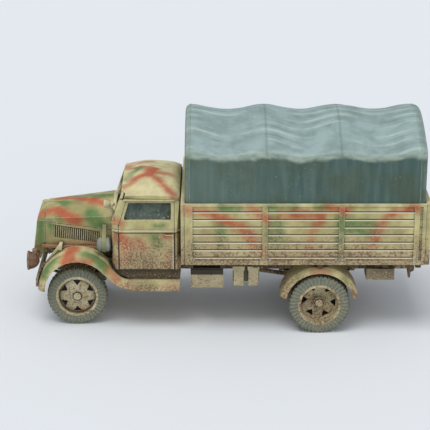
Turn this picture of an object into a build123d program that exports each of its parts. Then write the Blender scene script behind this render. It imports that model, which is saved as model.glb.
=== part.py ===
from build123d import *
import os
from math import asin, cos, radians, sin

os.makedirs("parts", exist_ok=True)

# Scale model of a three-ton military cargo truck, 1:72, in millimetres.
# X runs forward, Y to the left and Z up, from the ground under the middle of the truck.
# Every size below can be changed by itself; what follows from them is worked out further down.

# Running gear
wheelbase = 50.0
front_axle_x = 30.95
tyre_radius = 6.25
tyre_width = 2.6
rim_radius = 4.18
rim_wall = 0.3
rim_flange = 0.27
front_wheel_y = 9.5
rear_outer_y = 14.0
twin_spacing = 3.0
spindle_radius = 0.45
running_clearance = 0.05
tyre_fit = 0.02
drum_radius = 2.9

# Frame, springs and drive
rail_y = 4.9
rail_height = 2.4
rail_flange = 0.9
rail_wall = 0.3
rail_top = 12.6
rail_front = 37.0
rail_rear = -38.4
leaf_thickness = 0.3
leaf_width = 1.0
axle_tube_radius = 0.9

# Bed
bed_front = 9.04
bed_rear = -40.6
bed_half_width = 15.7
board_bottom = 15.4
board_top = 28.4
board_thickness = 0.6
floor_thickness = 0.8
plank_count = 8
groove = 0.12
sill_depth = 0.9
upright_depth = 0.45

# Canvas tilt
tilt_shoulder = 38.9
tilt_ridge = 44.05
tilt_wall = 0.5
tilt_inset = 0.05

# Cab
cab_half_width = 11.8
cab_seat_gap = 0.1
cab_gap = 0.31
rear_post = 1.22
door_front = 22.06
belt_z = 21.4
door_top = 27.5
door_top_y = 11.2
panel = 0.7
shut_gap = 0.08
roof_crown = 31.3
roof_wall = 0.5
glass = 0.2

# Hood and front
hood_rear = 23.55
hood_front = 37.45
hood_skin = 0.4
ledge_z = 16.0
shell_front_foot = 40.4
louvre_count = 24

# Fenders
fender_skin = 0.35
fender_x = 30.6
fender_z = 8.3
fender_radius = 8.1
fender_inner_y = 7.7
fender_outer_y = 13.6
fender_lip = 1.35
board_step_top = 10.5
board_step_bottom = 8.65
board_step_rear = 9.54
rear_fender_gap = 0.05
rear_fender_skirt = 1.2
rear_fender_inner_y = 9.5
rear_fender_outer_y = 15.4

rear_axle_x = front_axle_x - wheelbase
wheel_z = tyre_radius
cab_bottom = rail_top + cab_seat_gap
cab_rear = bed_front + cab_gap
door_rear = cab_rear + rear_post
rear_fender_radius = board_bottom - sill_depth - rear_fender_gap - wheel_z
rear_inner_y = rear_outer_y - twin_spacing
twin_middle_y = (rear_outer_y + rear_inner_y) / 2
rail_bottom = rail_top - rail_height
sides = (("left", 1), ("right", -1))


def axis_across(x, z):
    """An axis along Y through the point (x, z)."""
    return Axis((x, 0, z), (0, 1, 0))


# Wheels. Tyre and wheel are turned about the axle; the right ones mirror the left ones.
window_count = 6
window_base_r = 3.45
window_tip_r = 2.3
window_half_base = 0.88


def tyre_ring(x, y):
    """A tyre with sloped shoulders, centred on y."""
    half = tyre_width / 2
    bead = 0.73 * half
    bead_r = rim_radius + tyre_fit
    wall_r = rim_radius + rim_flange + 2 * tyre_fit
    shoulder_r = tyre_radius - 0.25
    with BuildPart() as tyre:
        with BuildSketch(Plane.YZ.offset(x)):
            with BuildLine(Location((y, wheel_z))):
                Polyline((-bead, bead_r), (-bead, wall_r), (-half, wall_r + 0.4), (-half, shoulder_r - 0.4),
                         (-0.82 * half, shoulder_r), (-0.6 * half, tyre_radius), (0.6 * half, tyre_radius),
                         (0.82 * half, shoulder_r), (half, shoulder_r - 0.4), (half, wall_r + 0.4),
                         (bead, wall_r), (bead, bead_r), close=True)
            make_face()
        revolve(axis=axis_across(x, wheel_z))
    return tyre.part


def wheel_windows(x, y_from, y_to, turn):
    """Triangular hand holes, their bases outwards, as cutters."""
    with BuildPart() as cutters:
        with BuildSketch(Plane.XZ.offset(-y_to)):
            with Locations((x, wheel_z)):
                with PolarLocations(0, window_count, start_angle=turn):
                    Polygon((window_tip_r, 0), (window_base_r, window_half_base),
                            (window_base_r, -window_half_base), align=None)
        extrude(amount=y_to - y_from)
    return cutters.part


# Radii that both wheels share
bore_r = spindle_radius + running_clearance
well_r = rim_radius - rim_wall
flange_r = rim_radius + rim_flange
flange_y = 0.78 * tyre_width / 2
rim_edge = flange_y + 0.15
hub_r = 1.07
cap_r = 0.8
drum_inner_r = drum_radius - 0.3
drum_depth = 1.2

# Front wheel, one section from the bore round the drum, rim, cone and hub cap
disc_foot = 0.3
disc_top = 0.75
cap_out = 1.05
with BuildPart() as wheel_front_left:
    with BuildSketch(Plane.YZ.offset(front_axle_x)):
        with BuildLine(Location((front_wheel_y, wheel_z))):
            Polyline((-drum_depth, bore_r), (-drum_depth, hub_r), (-0.2, hub_r), (-0.2, drum_inner_r),
                     (-drum_depth, drum_inner_r), (-drum_depth, drum_radius), (0.15, drum_radius),
                     (0, well_r), (-rim_edge, well_r), (-rim_edge, flange_r), (-flange_y, flange_r),
                     (-flange_y, rim_radius), (flange_y, rim_radius), (flange_y, flange_r),
                     (rim_edge, flange_r), (rim_edge, well_r), (disc_foot, well_r),
                     (disc_foot + 0.1, well_r - 0.35), (disc_top, hub_r), (0.9, hub_r), (0.9, cap_r),
                     (cap_out, cap_r), (cap_out, 0), (disc_top, 0), (disc_top, bore_r), close=True)
        make_face()
    revolve(axis=axis_across(front_axle_x, wheel_z))
    add(wheel_windows(front_axle_x, front_wheel_y, front_wheel_y + disc_top, 90), mode=Mode.SUBTRACT)

# Rear twin wheel: two rims on dished discs that meet between them, y counted from there
half_twin = twin_spacing / 2
dish = 0.25
bend_r = 3.3
disc_joint = 0.55
disc_seat = 0.8
twin_cap = half_twin + 0.15
twin_bore = half_twin - 0.1
with BuildPart() as wheel_rear_left:
    with BuildSketch(Plane.YZ.offset(rear_axle_x)):
        with BuildLine(Location((twin_middle_y, wheel_z))):
            drum_end = -half_twin - drum_depth
            Polyline((drum_end, bore_r), (drum_end, hub_r), (-1.0, hub_r), (-1.0, drum_inner_r),
                     (drum_end, drum_inner_r), (drum_end, drum_radius), (-disc_seat, drum_radius),
                     (-disc_seat, hub_r), (-dish, hub_r), (-dish, bend_r), (-disc_seat, well_r),
                     (-half_twin - rim_edge, well_r), (-half_twin - rim_edge, flange_r),
                     (-half_twin - flange_y, flange_r), (-half_twin - flange_y, rim_radius),
                     (-half_twin + flange_y, rim_radius), (-half_twin + flange_y, flange_r),
                     (-half_twin + rim_edge, flange_r), (-half_twin + rim_edge, well_r),
                     (-disc_joint, well_r), (0, bend_r + 0.2), (disc_joint, well_r),
                     (half_twin - rim_edge, well_r),
                     (half_twin - rim_edge, flange_r), (half_twin - flange_y, flange_r),
                     (half_twin - flange_y, rim_radius), (half_twin + flange_y, rim_radius),
                     (half_twin + flange_y, flange_r), (half_twin + rim_edge, flange_r),
                     (half_twin + rim_edge, well_r), (disc_seat, well_r), (dish, bend_r), (dish, hub_r),
                     (half_twin, hub_r), (half_twin, cap_r), (twin_cap, cap_r), (twin_cap, 0),
                     (twin_bore, 0), (twin_bore, bore_r), close=True)
        make_face()
    revolve(axis=axis_across(rear_axle_x, wheel_z))
    add(wheel_windows(rear_axle_x, twin_middle_y - 0.5, twin_middle_y + 0.5, 65), mode=Mode.SUBTRACT)

# Each tyre: node name stem, place along X, place along Y
tyre_rows = (
    ("tyre_front", front_axle_x, front_wheel_y),
    ("tyre_rear_outer", rear_axle_x, rear_outer_y),
    ("tyre_rear_inner", rear_axle_x, rear_inner_y),
)
for stem, x, y in tyre_rows:
    left_tyre = tyre_ring(x, y)
    for side, sign in sides:
        with BuildPart() as tyre:
            add(left_tyre if sign > 0 else left_tyre.mirror(Plane.XZ))
        tyre.part.label = f"{stem}_{side}"
        export_step(tyre.part, f"parts/{stem}_{side}.step")

for stem, left_wheel in (("wheel_front", wheel_front_left.part), ("wheel_rear", wheel_rear_left.part)):
    for side, sign in sides:
        with BuildPart() as wheel:
            add(left_wheel if sign > 0 else left_wheel.mirror(Plane.XZ))
        wheel.part.label = f"{stem}_{side}"
        export_step(wheel.part, f"parts/{stem}_{side}.step")

# Ladder frame: two channel rails and the cross members between them
cross_member_places = (36.0, 9.5, -6.0, -27.5, -37.9)
cross_member_height = 1.2
with BuildPart() as chassis_frame:
    with BuildSketch(Plane.YZ.offset(rail_rear)):
        for sign in (1, -1):
            with BuildLine():
                outer = sign * rail_y
                inner = sign * (rail_y - rail_flange)
                web = sign * (rail_y - rail_wall)
                Polyline((outer, rail_bottom), (outer, rail_top), (inner, rail_top),
                         (inner, rail_top - rail_wall), (web, rail_top - rail_wall),
                         (web, rail_bottom + rail_wall), (inner, rail_bottom + rail_wall),
                         (inner, rail_bottom), close=True)
            make_face()
    extrude(amount=rail_front - rail_rear)
    with Locations(*[(x, 0, rail_top - rail_wall - cross_member_height / 2) for x in cross_member_places]):
        Box(1.0, 2 * (rail_y - rail_wall), cross_member_height)
chassis_frame.part.label = "chassis_frame"
export_step(chassis_frame.part, "parts/chassis_frame.step")


def leaf_pack(x, seat_z, span, leaf_count):
    """A half-elliptic leaf pack above seat_z with the hangers that reach up to the rail."""
    rise = 1.5
    half = span / 2
    radius = (half ** 2 + rise ** 2) / (2 * rise)
    main_reach = asin(half / radius)
    centre_z = seat_z + radius + (leaf_count - 0.5) * leaf_thickness
    with BuildPart() as pack:
        for index in range(leaf_count):
            reach = main_reach * (1 - 0.2 * index)
            upper_r = radius + (index - 0.5) * leaf_thickness
            with BuildSketch(Plane.XZ.offset(-leaf_width / 2)):
                with BuildLine():
                    ends = []
                    for r in (upper_r, upper_r + leaf_thickness):
                        points = [(x + r * sin(a), centre_z - r * cos(a)) for a in (-reach, 0, reach)]
                        ThreePointArc(*points)
                        ends.append(points)
                    Line(ends[0][0], ends[1][0])
                    Line(ends[0][2], ends[1][2])
                make_face()
            extrude(amount=leaf_width)
        eye_z = centre_z - radius + rise - 0.3
        with Locations((x - half, 0, (eye_z + rail_bottom) / 2), (x + half, 0, (eye_z + rail_bottom) / 2)):
            Box(0.9, leaf_width, rail_bottom - eye_z)
    return pack.part


spring_y = rail_y - 0.7
spring_seat_z = wheel_z + axle_tube_radius
# Springs: axle place, span, number of leaves
with BuildPart() as leaf_springs:
    for x, span, leaf_count in ((front_axle_x, 11.0, 4), (rear_axle_x, 15.0, 5)):
        left_pack = leaf_pack(x, spring_seat_z, span, leaf_count)
        for sign in (1, -1):
            add(left_pack.moved(Location((0, sign * spring_y, 0))))
leaf_springs.part.label = "leaf_springs"
export_step(leaf_springs.part, "parts/leaf_springs.step")

# Front axle beam with its king pins, knuckles and wheel spindles
knuckle_y = front_wheel_y - 1.9
beam_depth = 1.0
beam_middle_low = spring_seat_z - 1.3
beam_end_low = wheel_z - beam_depth / 2
beam_end_top = wheel_z + beam_depth / 2
with BuildPart() as front_axle:
    with BuildSketch(Plane.YZ.offset(front_axle_x - 0.5)):
        with BuildLine():
            Polyline((-knuckle_y, beam_end_low), (-knuckle_y + 1.6, beam_end_low),
                     (-knuckle_y + 2.6, beam_middle_low), (knuckle_y - 2.6, beam_middle_low),
                     (knuckle_y - 1.6, beam_end_low), (knuckle_y, beam_end_low), (knuckle_y, beam_end_top),
                     (knuckle_y - 1.2, beam_end_top), (knuckle_y - 2.4, spring_seat_z),
                     (-knuckle_y + 2.4, spring_seat_z), (-knuckle_y + 1.2, beam_end_top),
                     (-knuckle_y, beam_end_top), close=True)
        make_face()
    extrude(amount=beam_depth)
    with Locations((front_axle_x, knuckle_y, wheel_z), (front_axle_x, -knuckle_y, wheel_z)):
        Cylinder(0.6, 2.6)
    for side, sign in sides:
        with Locations((front_axle_x, sign * (knuckle_y + 0.45), wheel_z)):
            Cylinder(drum_radius - 0.1, 0.2, rotation=(90, 0, 0))
        with Locations((front_axle_x, sign * (knuckle_y + 1.3), wheel_z)):
            Cylinder(spindle_radius, 2.6, rotation=(90, 0, 0))
front_axle.part.label = "front_axle"
export_step(front_axle.part, "parts/front_axle.step")

# Steering linkage: tie rod behind the beam, an arm at each knuckle
tie_rod_x = front_axle_x - 1.9
with BuildPart() as steering_linkage:
    with Locations((tie_rod_x, 0, wheel_z - 0.9)):
        Cylinder(0.25, 2 * knuckle_y, rotation=(90, 0, 0))
    with Locations(*[(tie_rod_x + 0.6, sign * knuckle_y, wheel_z - 0.9) for sign in (1, -1)]):
        Box(1.4, 0.5, 0.4)
steering_linkage.part.label = "steering_linkage"
export_step(steering_linkage.part, "parts/steering_linkage.step")

# Rear axle: banjo housing, tubes, backing plates and spindles
housing_radius = 2.4
tube_end_y = rear_inner_y - 1.5
spindle_end_y = rear_outer_y - 0.2
plate = 0.2
housing_side = (housing_radius ** 2 - axle_tube_radius ** 2) ** 0.5
with BuildPart() as rear_axle:
    with BuildSketch(Plane.YZ.offset(rear_axle_x)):
        with BuildLine(Location((0, wheel_z))):
            Polyline((-housing_side, axle_tube_radius), (-tube_end_y + plate, axle_tube_radius),
                     (-tube_end_y + plate, drum_radius - 0.1), (-tube_end_y, drum_radius - 0.1),
                     (-tube_end_y, spindle_radius), (-spindle_end_y, spindle_radius), (-spindle_end_y, 0),
                     (spindle_end_y, 0), (spindle_end_y, spindle_radius), (tube_end_y, spindle_radius),
                     (tube_end_y, drum_radius - 0.1), (tube_end_y - plate, drum_radius - 0.1),
                     (tube_end_y - plate, axle_tube_radius), (housing_side, axle_tube_radius))
            ThreePointArc((housing_side, axle_tube_radius), (0, housing_radius),
                          (-housing_side, axle_tube_radius))
        make_face()
    revolve(axis=axis_across(rear_axle_x, wheel_z))
rear_axle.part.label = "rear_axle"
export_step(rear_axle.part, "parts/rear_axle.step")

# Engine and gearbox as one plain block
gearbox_rear = 12.0
gearbox_z = 10.9
engine_z = 14.4
engine_front = hood_front - 2.0
engine_rear = hood_rear + 0.6
with BuildPart() as engine_and_gearbox:
    with Locations(((engine_front + engine_rear) / 2, 0, engine_z)):
        Box(engine_front - engine_rear, 5.6, 7.6)
    with Locations(((engine_rear + gearbox_rear) / 2, 0, gearbox_z)):
        Box(engine_rear - gearbox_rear, 3.6, 2.6)
    fillet(engine_and_gearbox.edges().filter_by(Axis.X), 0.4)
engine_and_gearbox.part.label = "engine_and_gearbox"
export_step(engine_and_gearbox.part, "parts/engine_and_gearbox.step")

# Propeller shaft from the gearbox down to the rear axle
shaft_front = Vector(gearbox_rear, 0, gearbox_z)
shaft_rear = Vector(rear_axle_x + housing_radius + 0.1, 0, wheel_z + 0.3)
shaft_plane = Plane(origin=shaft_rear, z_dir=shaft_front - shaft_rear)
shaft_length = (shaft_front - shaft_rear).length
with BuildPart() as propeller_shaft:
    with BuildSketch(shaft_plane):
        Circle(0.45)
    extrude(amount=shaft_length)
    with BuildSketch(shaft_plane.offset(shaft_length - 1.2)):
        Circle(0.8)
    extrude(amount=1.0)
propeller_shaft.part.label = "propeller_shaft"
export_step(propeller_shaft.part, "parts/propeller_shaft.step")

# Exhaust: pipe and silencer under the right rail
exhaust_y = -(rail_y + 1.6)
exhaust_z = rail_bottom - 2.1
exhaust_end = -9.0
with BuildPart() as exhaust:
    with BuildLine(Plane.XY.offset(exhaust_z)):
        FilletPolyline((21.0, -3.0), (19.0, exhaust_y), (exhaust_end, exhaust_y), radius=1.2)
    with BuildSketch(Plane(origin=(exhaust_end, exhaust_y, exhaust_z), z_dir=(1, 0, 0))):
        Circle(0.4)
    sweep()
    with Locations((0, exhaust_y, exhaust_z)):
        Cylinder(1.1, 8.0, rotation=(0, 90, 0))
exhaust.part.label = "exhaust"
export_step(exhaust.part, "parts/exhaust.step")

# Radiator shell: the side outline, cut to the rounded front outline, open in front for the grille
shell_half_width = 5.8
shell_low = 12.4
shell_side_top = 21.3
shell_crown = 23.4
grille_half_width = 4.6
grille_z = 17.4
grille_height = 7.6
grille_fit = 0.05
with BuildPart() as radiator_shell:
    with BuildSketch(Plane.XZ):
        with BuildLine():
            Polyline((hood_front, shell_crown), (hood_front + 1.0, shell_crown - 0.45),
                     (hood_front + 1.7, shell_crown - 1.5), (hood_front + 1.95, shell_crown - 3.4),
                     (shell_front_foot, shell_low + 0.5),
                     (shell_front_foot - 1.5, shell_low), (hood_front, ledge_z), close=True)
        make_face()
    extrude(amount=shell_half_width, both=True)
    with BuildSketch(Plane.YZ.offset(hood_front)):
        with BuildLine():
            Polyline((-shell_half_width, shell_side_top), (-shell_half_width, ledge_z),
                     (-grille_half_width, shell_low), (grille_half_width, shell_low),
                     (shell_half_width, ledge_z), (shell_half_width, shell_side_top))
            ThreePointArc((shell_half_width, shell_side_top), (0, shell_crown),
                          (-shell_half_width, shell_side_top))
        make_face()
    extrude(amount=10, both=True, mode=Mode.INTERSECT)
    with BuildSketch(Plane.YZ.offset(hood_front)):
        with Locations((0, grille_z)):
            RectangleRounded(2 * grille_half_width, grille_height, 0.8)
    extrude(amount=10, both=True, mode=Mode.SUBTRACT)
radiator_shell.part.label = "radiator_shell"
export_step(radiator_shell.part, "parts/radiator_shell.step")

# Grille: core with upright bars in the shell's opening
bar_count = 13
with BuildPart() as grille:
    with BuildSketch(Plane.YZ.offset(hood_front + 0.1)):
        with Locations((0, grille_z)):
            RectangleRounded(2 * (grille_half_width - grille_fit), grille_height - 2 * grille_fit, 0.75)
    extrude(amount=0.8)
    bar_pitch = (2 * grille_half_width - 0.8) / (bar_count - 1)
    with Locations((hood_front + 1.1, 0, grille_z)):
        with GridLocations(0, bar_pitch, 1, bar_count):
            Box(0.8, 0.25, grille_height - 0.4)
grille.part.label = "grille"
export_step(grille.part, "parts/grille.step")


def hood_section(x, half_bottom, bottom, side_top, crown, skin):
    """The closed outline of the hood across the truck, taken in by skin."""
    half = half_bottom - skin
    with BuildSketch(Plane.YZ.offset(x)) as section:
        with BuildLine():
            Line((-half, bottom), (half, bottom))
            Line((half, bottom), (half, side_top - skin))
            ThreePointArc((half, side_top - skin), (0, crown - skin), (-half, side_top - skin))
            Line((-half, side_top - skin), (-half, bottom))
        make_face()
    return section.sketch


# Hood top, a thin shell between the radiator shell and the cowl.
# Columns: x, half width, lower edge, top of the side, crown
hood_stations = (
    (hood_rear, 6.9, 19.7, 22.6, 25.4),
    (hood_front, 5.95, 21.1, 21.9, 23.4),
)
with BuildPart() as hood:
    for x, half, bottom, side_top, crown in hood_stations:
        add(hood_section(x, half, bottom, side_top, crown, 0))
    loft()
with BuildPart() as hood_hollow:
    for x, half, bottom, side_top, crown in hood_stations:
        add(hood_section(x, half, bottom - 0.01, side_top, crown, hood_skin))
    loft()
with BuildPart() as hood_top:
    add(hood.part)
    add(hood_hollow.part, mode=Mode.SUBTRACT)
hood_top.part.label = "hood"
export_step(hood_top.part, "parts/hood.step")

# Hood side panels: a plate under the hood edge, a louvred field and the ledge along its foot.
side_start = Vector(hood_rear, hood_stations[0][1], 0)
side_run = Vector(hood_front, hood_stations[1][1], 0) - side_start
side_plane = Plane(origin=side_start, x_dir=side_run, z_dir=side_run.cross(Vector(0, 0, 1)))
side_length = side_run.length
side_plate = 0.6
ledge_end = side_length + 0.9
field_rear = 2.7
field_front = 12.3
field_rear_z = (16.75, 19.2)
field_front_z = (17.8, 20.5)
with BuildPart() as hood_side:
    with BuildSketch(side_plane):
        with BuildLine():
            Polyline((0, ledge_z), (side_length, ledge_z), (side_length, 21.0), (0, 19.6), close=True)
        make_face()
    extrude(amount=side_plate)
    with BuildSketch(side_plane.offset(-0.55)):
        with BuildLine():
            Polyline((0.2, ledge_z - 0.5), (ledge_end, ledge_z - 0.4), (ledge_end, ledge_z + 0.2),
                     (0.2, ledge_z), close=True)
        make_face()
    extrude(amount=0.6)
    with BuildSketch(side_plane):
        with BuildLine():
            Polyline((field_rear, field_rear_z[0]), (field_front, field_front_z[0]),
                     (field_front, field_front_z[1]), (field_rear, field_rear_z[1]), close=True)
        make_face()
    extrude(amount=0.35, mode=Mode.SUBTRACT)
    pitch = (field_front - field_rear - 0.4) / (louvre_count - 1)
    for index in range(louvre_count):
        u = field_rear + 0.2 + index * pitch
        share = (u - field_rear) / (field_front - field_rear)
        low = field_rear_z[0] + share * (field_front_z[0] - field_rear_z[0])
        high = field_rear_z[1] + share * (field_front_z[1] - field_rear_z[1])
        with BuildSketch(side_plane.offset(-0.12)):
            with BuildLine():
                Polyline((u - 0.08, low + 0.1), (u + 0.08, low + 0.1), (u + 0.08, high - 0.1),
                         (u - 0.08, high - 0.1), close=True)
            make_face()
        extrude(amount=0.5)

# Front fender: a crowned skin swept over the wheel and down to the running board
front_angle = 2.0
rear_angle = 135.0
foot_bend = 3.0
crown_y = 11.2


def fender_section(start, outwards, inner_y, outer_y, crown, lip):
    """Crowned skin with a turned-down outer lip, across the truck at start, with local y outwards."""
    across = Plane(origin=start, x_dir=(0, 1, 0), z_dir=Vector(0, 1, 0).cross(outwards))
    with BuildSketch(across) as section:
        with BuildLine():
            Line((inner_y, 0), (crown, 0))
            ThreePointArc((crown, 0), (outer_y - 0.6, -0.32), (outer_y, -lip))
            Line((outer_y, -lip), (outer_y - fender_skin, -lip))
            ThreePointArc((outer_y - fender_skin, -lip), (outer_y - 0.85, -0.62), (crown, -fender_skin))
            Line((crown, -fender_skin), (inner_y, -fender_skin))
            Line((inner_y, -fender_skin), (inner_y, 0))
        make_face()
    return section.sketch


def on_crown(angle):
    """Point on the fender's crown line, by its angle over the horizontal."""
    return (fender_x + fender_radius * cos(radians(angle)), fender_z + fender_radius * sin(radians(angle)))


foot_drop = foot_bend * (1 - cos(radians(rear_angle - 90)))
foot_run = foot_bend * sin(radians(rear_angle - 90))
slope_top = on_crown(rear_angle)
slope_end_z = board_step_top + foot_drop
slope_end = (slope_top[0] - (slope_top[1] - slope_end_z), slope_end_z)
foot = (slope_end[0] - foot_run, board_step_top)
with BuildPart() as front_fender:
    with BuildLine(Plane.XZ):
        ThreePointArc(on_crown(front_angle), on_crown((front_angle + rear_angle) / 2), slope_top)
        Line(slope_top, slope_end)
        middle_angle = radians((rear_angle - 90) / 2)
        ThreePointArc(slope_end, (foot[0] + foot_bend * sin(middle_angle),
                                  board_step_top + foot_bend * (1 - cos(middle_angle))), foot)
    nose = on_crown(front_angle)
    nose_out = Vector(cos(radians(front_angle)), 0, sin(radians(front_angle)))
    nose_start = (nose[0], 0, nose[1])
    add(fender_section(nose_start, nose_out, fender_inner_y, fender_outer_y, crown_y, fender_lip))
    sweep()

# Running board: a step with its apron, behind the fender's foot
with BuildPart() as running_board:
    with BuildSketch(Plane.YZ.offset(board_step_rear)):
        with BuildLine():
            Polyline((rail_y + 0.4, board_step_top), (fender_outer_y, board_step_top),
                     (fender_outer_y, board_step_bottom), (fender_outer_y - 0.4, board_step_bottom),
                     (fender_outer_y - 0.4, board_step_top - 0.5), (rail_y + 0.4, board_step_top - 0.5),
                     close=True)
        make_face()
    extrude(amount=foot[0] - board_step_rear)

# Rear fender over the twin wheels
rear_arch = 78.0
with BuildPart() as rear_fender:
    out = Vector(cos(radians(90 - rear_arch)), 0, sin(radians(90 - rear_arch)))
    start = Vector(rear_axle_x, 0, wheel_z) + out * rear_fender_radius
    add(fender_section(start, out, rear_fender_inner_y, rear_fender_outer_y, 14.4,
                       rear_fender_skirt))
    revolve(axis=Axis((rear_axle_x, 0, wheel_z), (0, -1, 0)), revolution_arc=2 * rear_arch)

# Headlight: a bowl with its rim, facing forward, on a stalk
headlight_y = 9.2
headlight_z = 13.8
headlight_radius = 2.0
headlight_face = 41.05
with BuildPart() as headlight:
    with BuildSketch(Plane.XY.offset(headlight_z)):
        with BuildLine(Location((headlight_face, headlight_y))):
            Polyline((0, 0), (0, headlight_radius), (-0.3, headlight_radius),
                     (-0.3, 0.93 * headlight_radius), (-1.1, 0.86 * headlight_radius),
                     (-1.8, 0.66 * headlight_radius),
                     (-2.25, 0.4 * headlight_radius), (-2.4, 0.2 * headlight_radius), (-2.4, 0), close=True)
        make_face()
    revolve(axis=Axis((0, headlight_y, headlight_z), (1, 0, 0)))
    with Locations((headlight_face - 1.5, headlight_y, headlight_z + headlight_radius)):
        Cylinder(0.5, 1.1)
    # Support tube from the back of the bowl to the side of the radiator shell
    tube_inner_y = shell_half_width - 0.6
    tube_outer_y = headlight_y - 0.6
    with Locations((headlight_face - 1.7, (tube_inner_y + tube_outer_y) / 2, headlight_z)):
        Cylinder(0.35, tube_outer_y - tube_inner_y, rotation=(90, 0, 0))

# Windscreen: foot and head of its outer face, in the middle of the truck
screen_foot = Vector(23.1, 0, 23.9)
screen_head = Vector(21.3, 0, 28.9)
screen_up = screen_head - screen_foot
screen_plane = Plane(origin=screen_foot, x_dir=(0, 1, 0), z_dir=Vector(0, 1, 0).cross(screen_up))
screen_height = screen_up.length
screen_thickness = 0.5


def screen_x(z):
    """Place of the windscreen's outer face along X at height z."""
    return screen_foot.X + (z - screen_foot.Z) * screen_up.X / screen_up.Z


# Belt moulding round the cab
belt_low = belt_z - 0.5
belt_proud = 0.18

# Cab door: a plate that leans in above the belt, with its window
door_slant_foot = (door_front - shut_gap, belt_z + 0.6)
door_slant_head = (20.35, door_top)
door_window = ((21.0, 23.45), (11.3, 23.45), (11.3, 27.1), (19.95, 27.1))


def side_shell(thickness, low, rear, front):
    """The bent side of the cab between two places along X."""
    with BuildPart() as shell:
        with BuildSketch(Plane.YZ.offset(rear)):
            with BuildLine():
                Polyline((cab_half_width, low), (cab_half_width, belt_z), (door_top_y, door_top),
                         (door_top_y - thickness, door_top), (cab_half_width - thickness, belt_z),
                         (cab_half_width - thickness, low), close=True)
            make_face()
        extrude(amount=front - rear)
    return shell.part


with BuildPart() as cab_door:
    add(side_shell(panel, cab_bottom, door_rear + shut_gap, door_front))
    with BuildSketch(Plane.XZ):
        with BuildLine():
            Polyline((door_rear, cab_bottom), (door_front - shut_gap, cab_bottom), door_slant_foot,
                     door_slant_head, (door_rear, door_top), close=True)
        make_face()
    extrude(amount=20, both=True, mode=Mode.INTERSECT)
    with BuildSketch(Plane.XZ) as opening:
        with BuildLine():
            Polyline(*door_window, close=True)
        make_face()
        fillet(opening.vertices(), 0.35)
    extrude(amount=20, both=True, mode=Mode.SUBTRACT)
    with Locations(((door_rear + door_front) / 2, cab_half_width, (belt_low + belt_z) / 2)):
        Box(door_front - door_rear - 2 * shut_gap, 2 * belt_proud, belt_z - belt_low)

# Door pane: fills the door's window, seated inside its edges
pane_seat = 0.01
pane_low = 23.0
pane_top = 27.35
with BuildPart() as door_pane:
    with BuildSketch(Plane.YZ.offset(door_rear + 0.5)):
        with BuildLine():
            lean = (cab_half_width - door_top_y) / (door_top - belt_z)
            outer_low = cab_half_width - lean * (pane_low - belt_z) - panel - pane_seat
            outer_high = cab_half_width - lean * (pane_top - belt_z) - panel - pane_seat
            Polyline((outer_low, pane_low), (outer_high, pane_top), (outer_high - glass, pane_top),
                     (outer_low - glass, pane_low), close=True)
        make_face()
    extrude(amount=9.6)
    with BuildSketch(Plane.XZ):
        with BuildLine():
            Polyline((21.4, 22.9), (11.0, 22.9), (11.0, 27.4), (20.2, 27.4), close=True)
        make_face()
    extrude(amount=20, both=True, mode=Mode.INTERSECT)

# Pieces that come in pairs: name, left piece
pairs = (
    ("hood_side", hood_side.part),
    ("front_fender", front_fender.part),
    ("running_board", running_board.part),
    ("rear_fender", rear_fender.part),
    ("headlight", headlight.part),
    ("cab_door", cab_door.part),
)
for stem, left_piece in pairs:
    for side, sign in sides:
        with BuildPart() as piece:
            add(left_piece if sign > 0 else left_piece.mirror(Plane.XZ))
        piece.part.label = f"{stem}_{side}"
        export_step(piece.part, f"parts/{stem}_{side}.step")

# Bumper: a channel bar low in front of the fenders, on the rail ends
bumper_x = 38.85
bumper_z = 9.5
with BuildPart() as bumper:
    with Locations((bumper_x + 0.25, 0, bumper_z)):
        Box(0.5, 22.6, 1.9)
    fillet(bumper.edges().filter_by(Axis.X), 0.6)
    bracket_end = bumper_x + 0.2
    for sign in (1, -1):
        with Locations(((rail_front + bracket_end) / 2, sign * (rail_y - 0.45), bumper_z + 1.3)):
            Box(bracket_end - rail_front, 0.8, 1.2)
bumper.part.label = "bumper"
export_step(bumper.part, "parts/bumper.step")

# Cab floor with its sill panels
sill_outer_y = 11.2
sill_panel = 1.2
cab_floor_front = 22.8
cab_floor_rear = cab_rear + 1.0
cab_floor_thickness = 0.6
with BuildPart() as cab_floor:
    with Locations(((cab_floor_rear + cab_floor_front) / 2, 0, cab_bottom + cab_floor_thickness / 2)):
        Box(cab_floor_front - cab_floor_rear, 2 * (cab_half_width - panel - 0.6), cab_floor_thickness)
    # Sill panels between the floor and the running boards, cut along the fender's slope
    for sign in (1, -1):
        with BuildSketch(Plane.XZ.offset(-sign * (sill_outer_y - sill_panel / 2))):
            with BuildLine():
                Polyline((board_step_rear, board_step_top), (foot[0] - 0.1, board_step_top),
                         (slope_end[0] - 0.1, slope_end[1] + 0.1),
                         (slope_end[0] - 0.1 + cab_bottom - slope_end[1] - 0.1, cab_bottom),
                         (board_step_rear, cab_bottom), close=True)
            make_face()
        extrude(amount=sill_panel / 2, both=True)
cab_floor.part.label = "cab_floor"
export_step(cab_floor.part, "parts/cab_floor.step")

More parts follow.
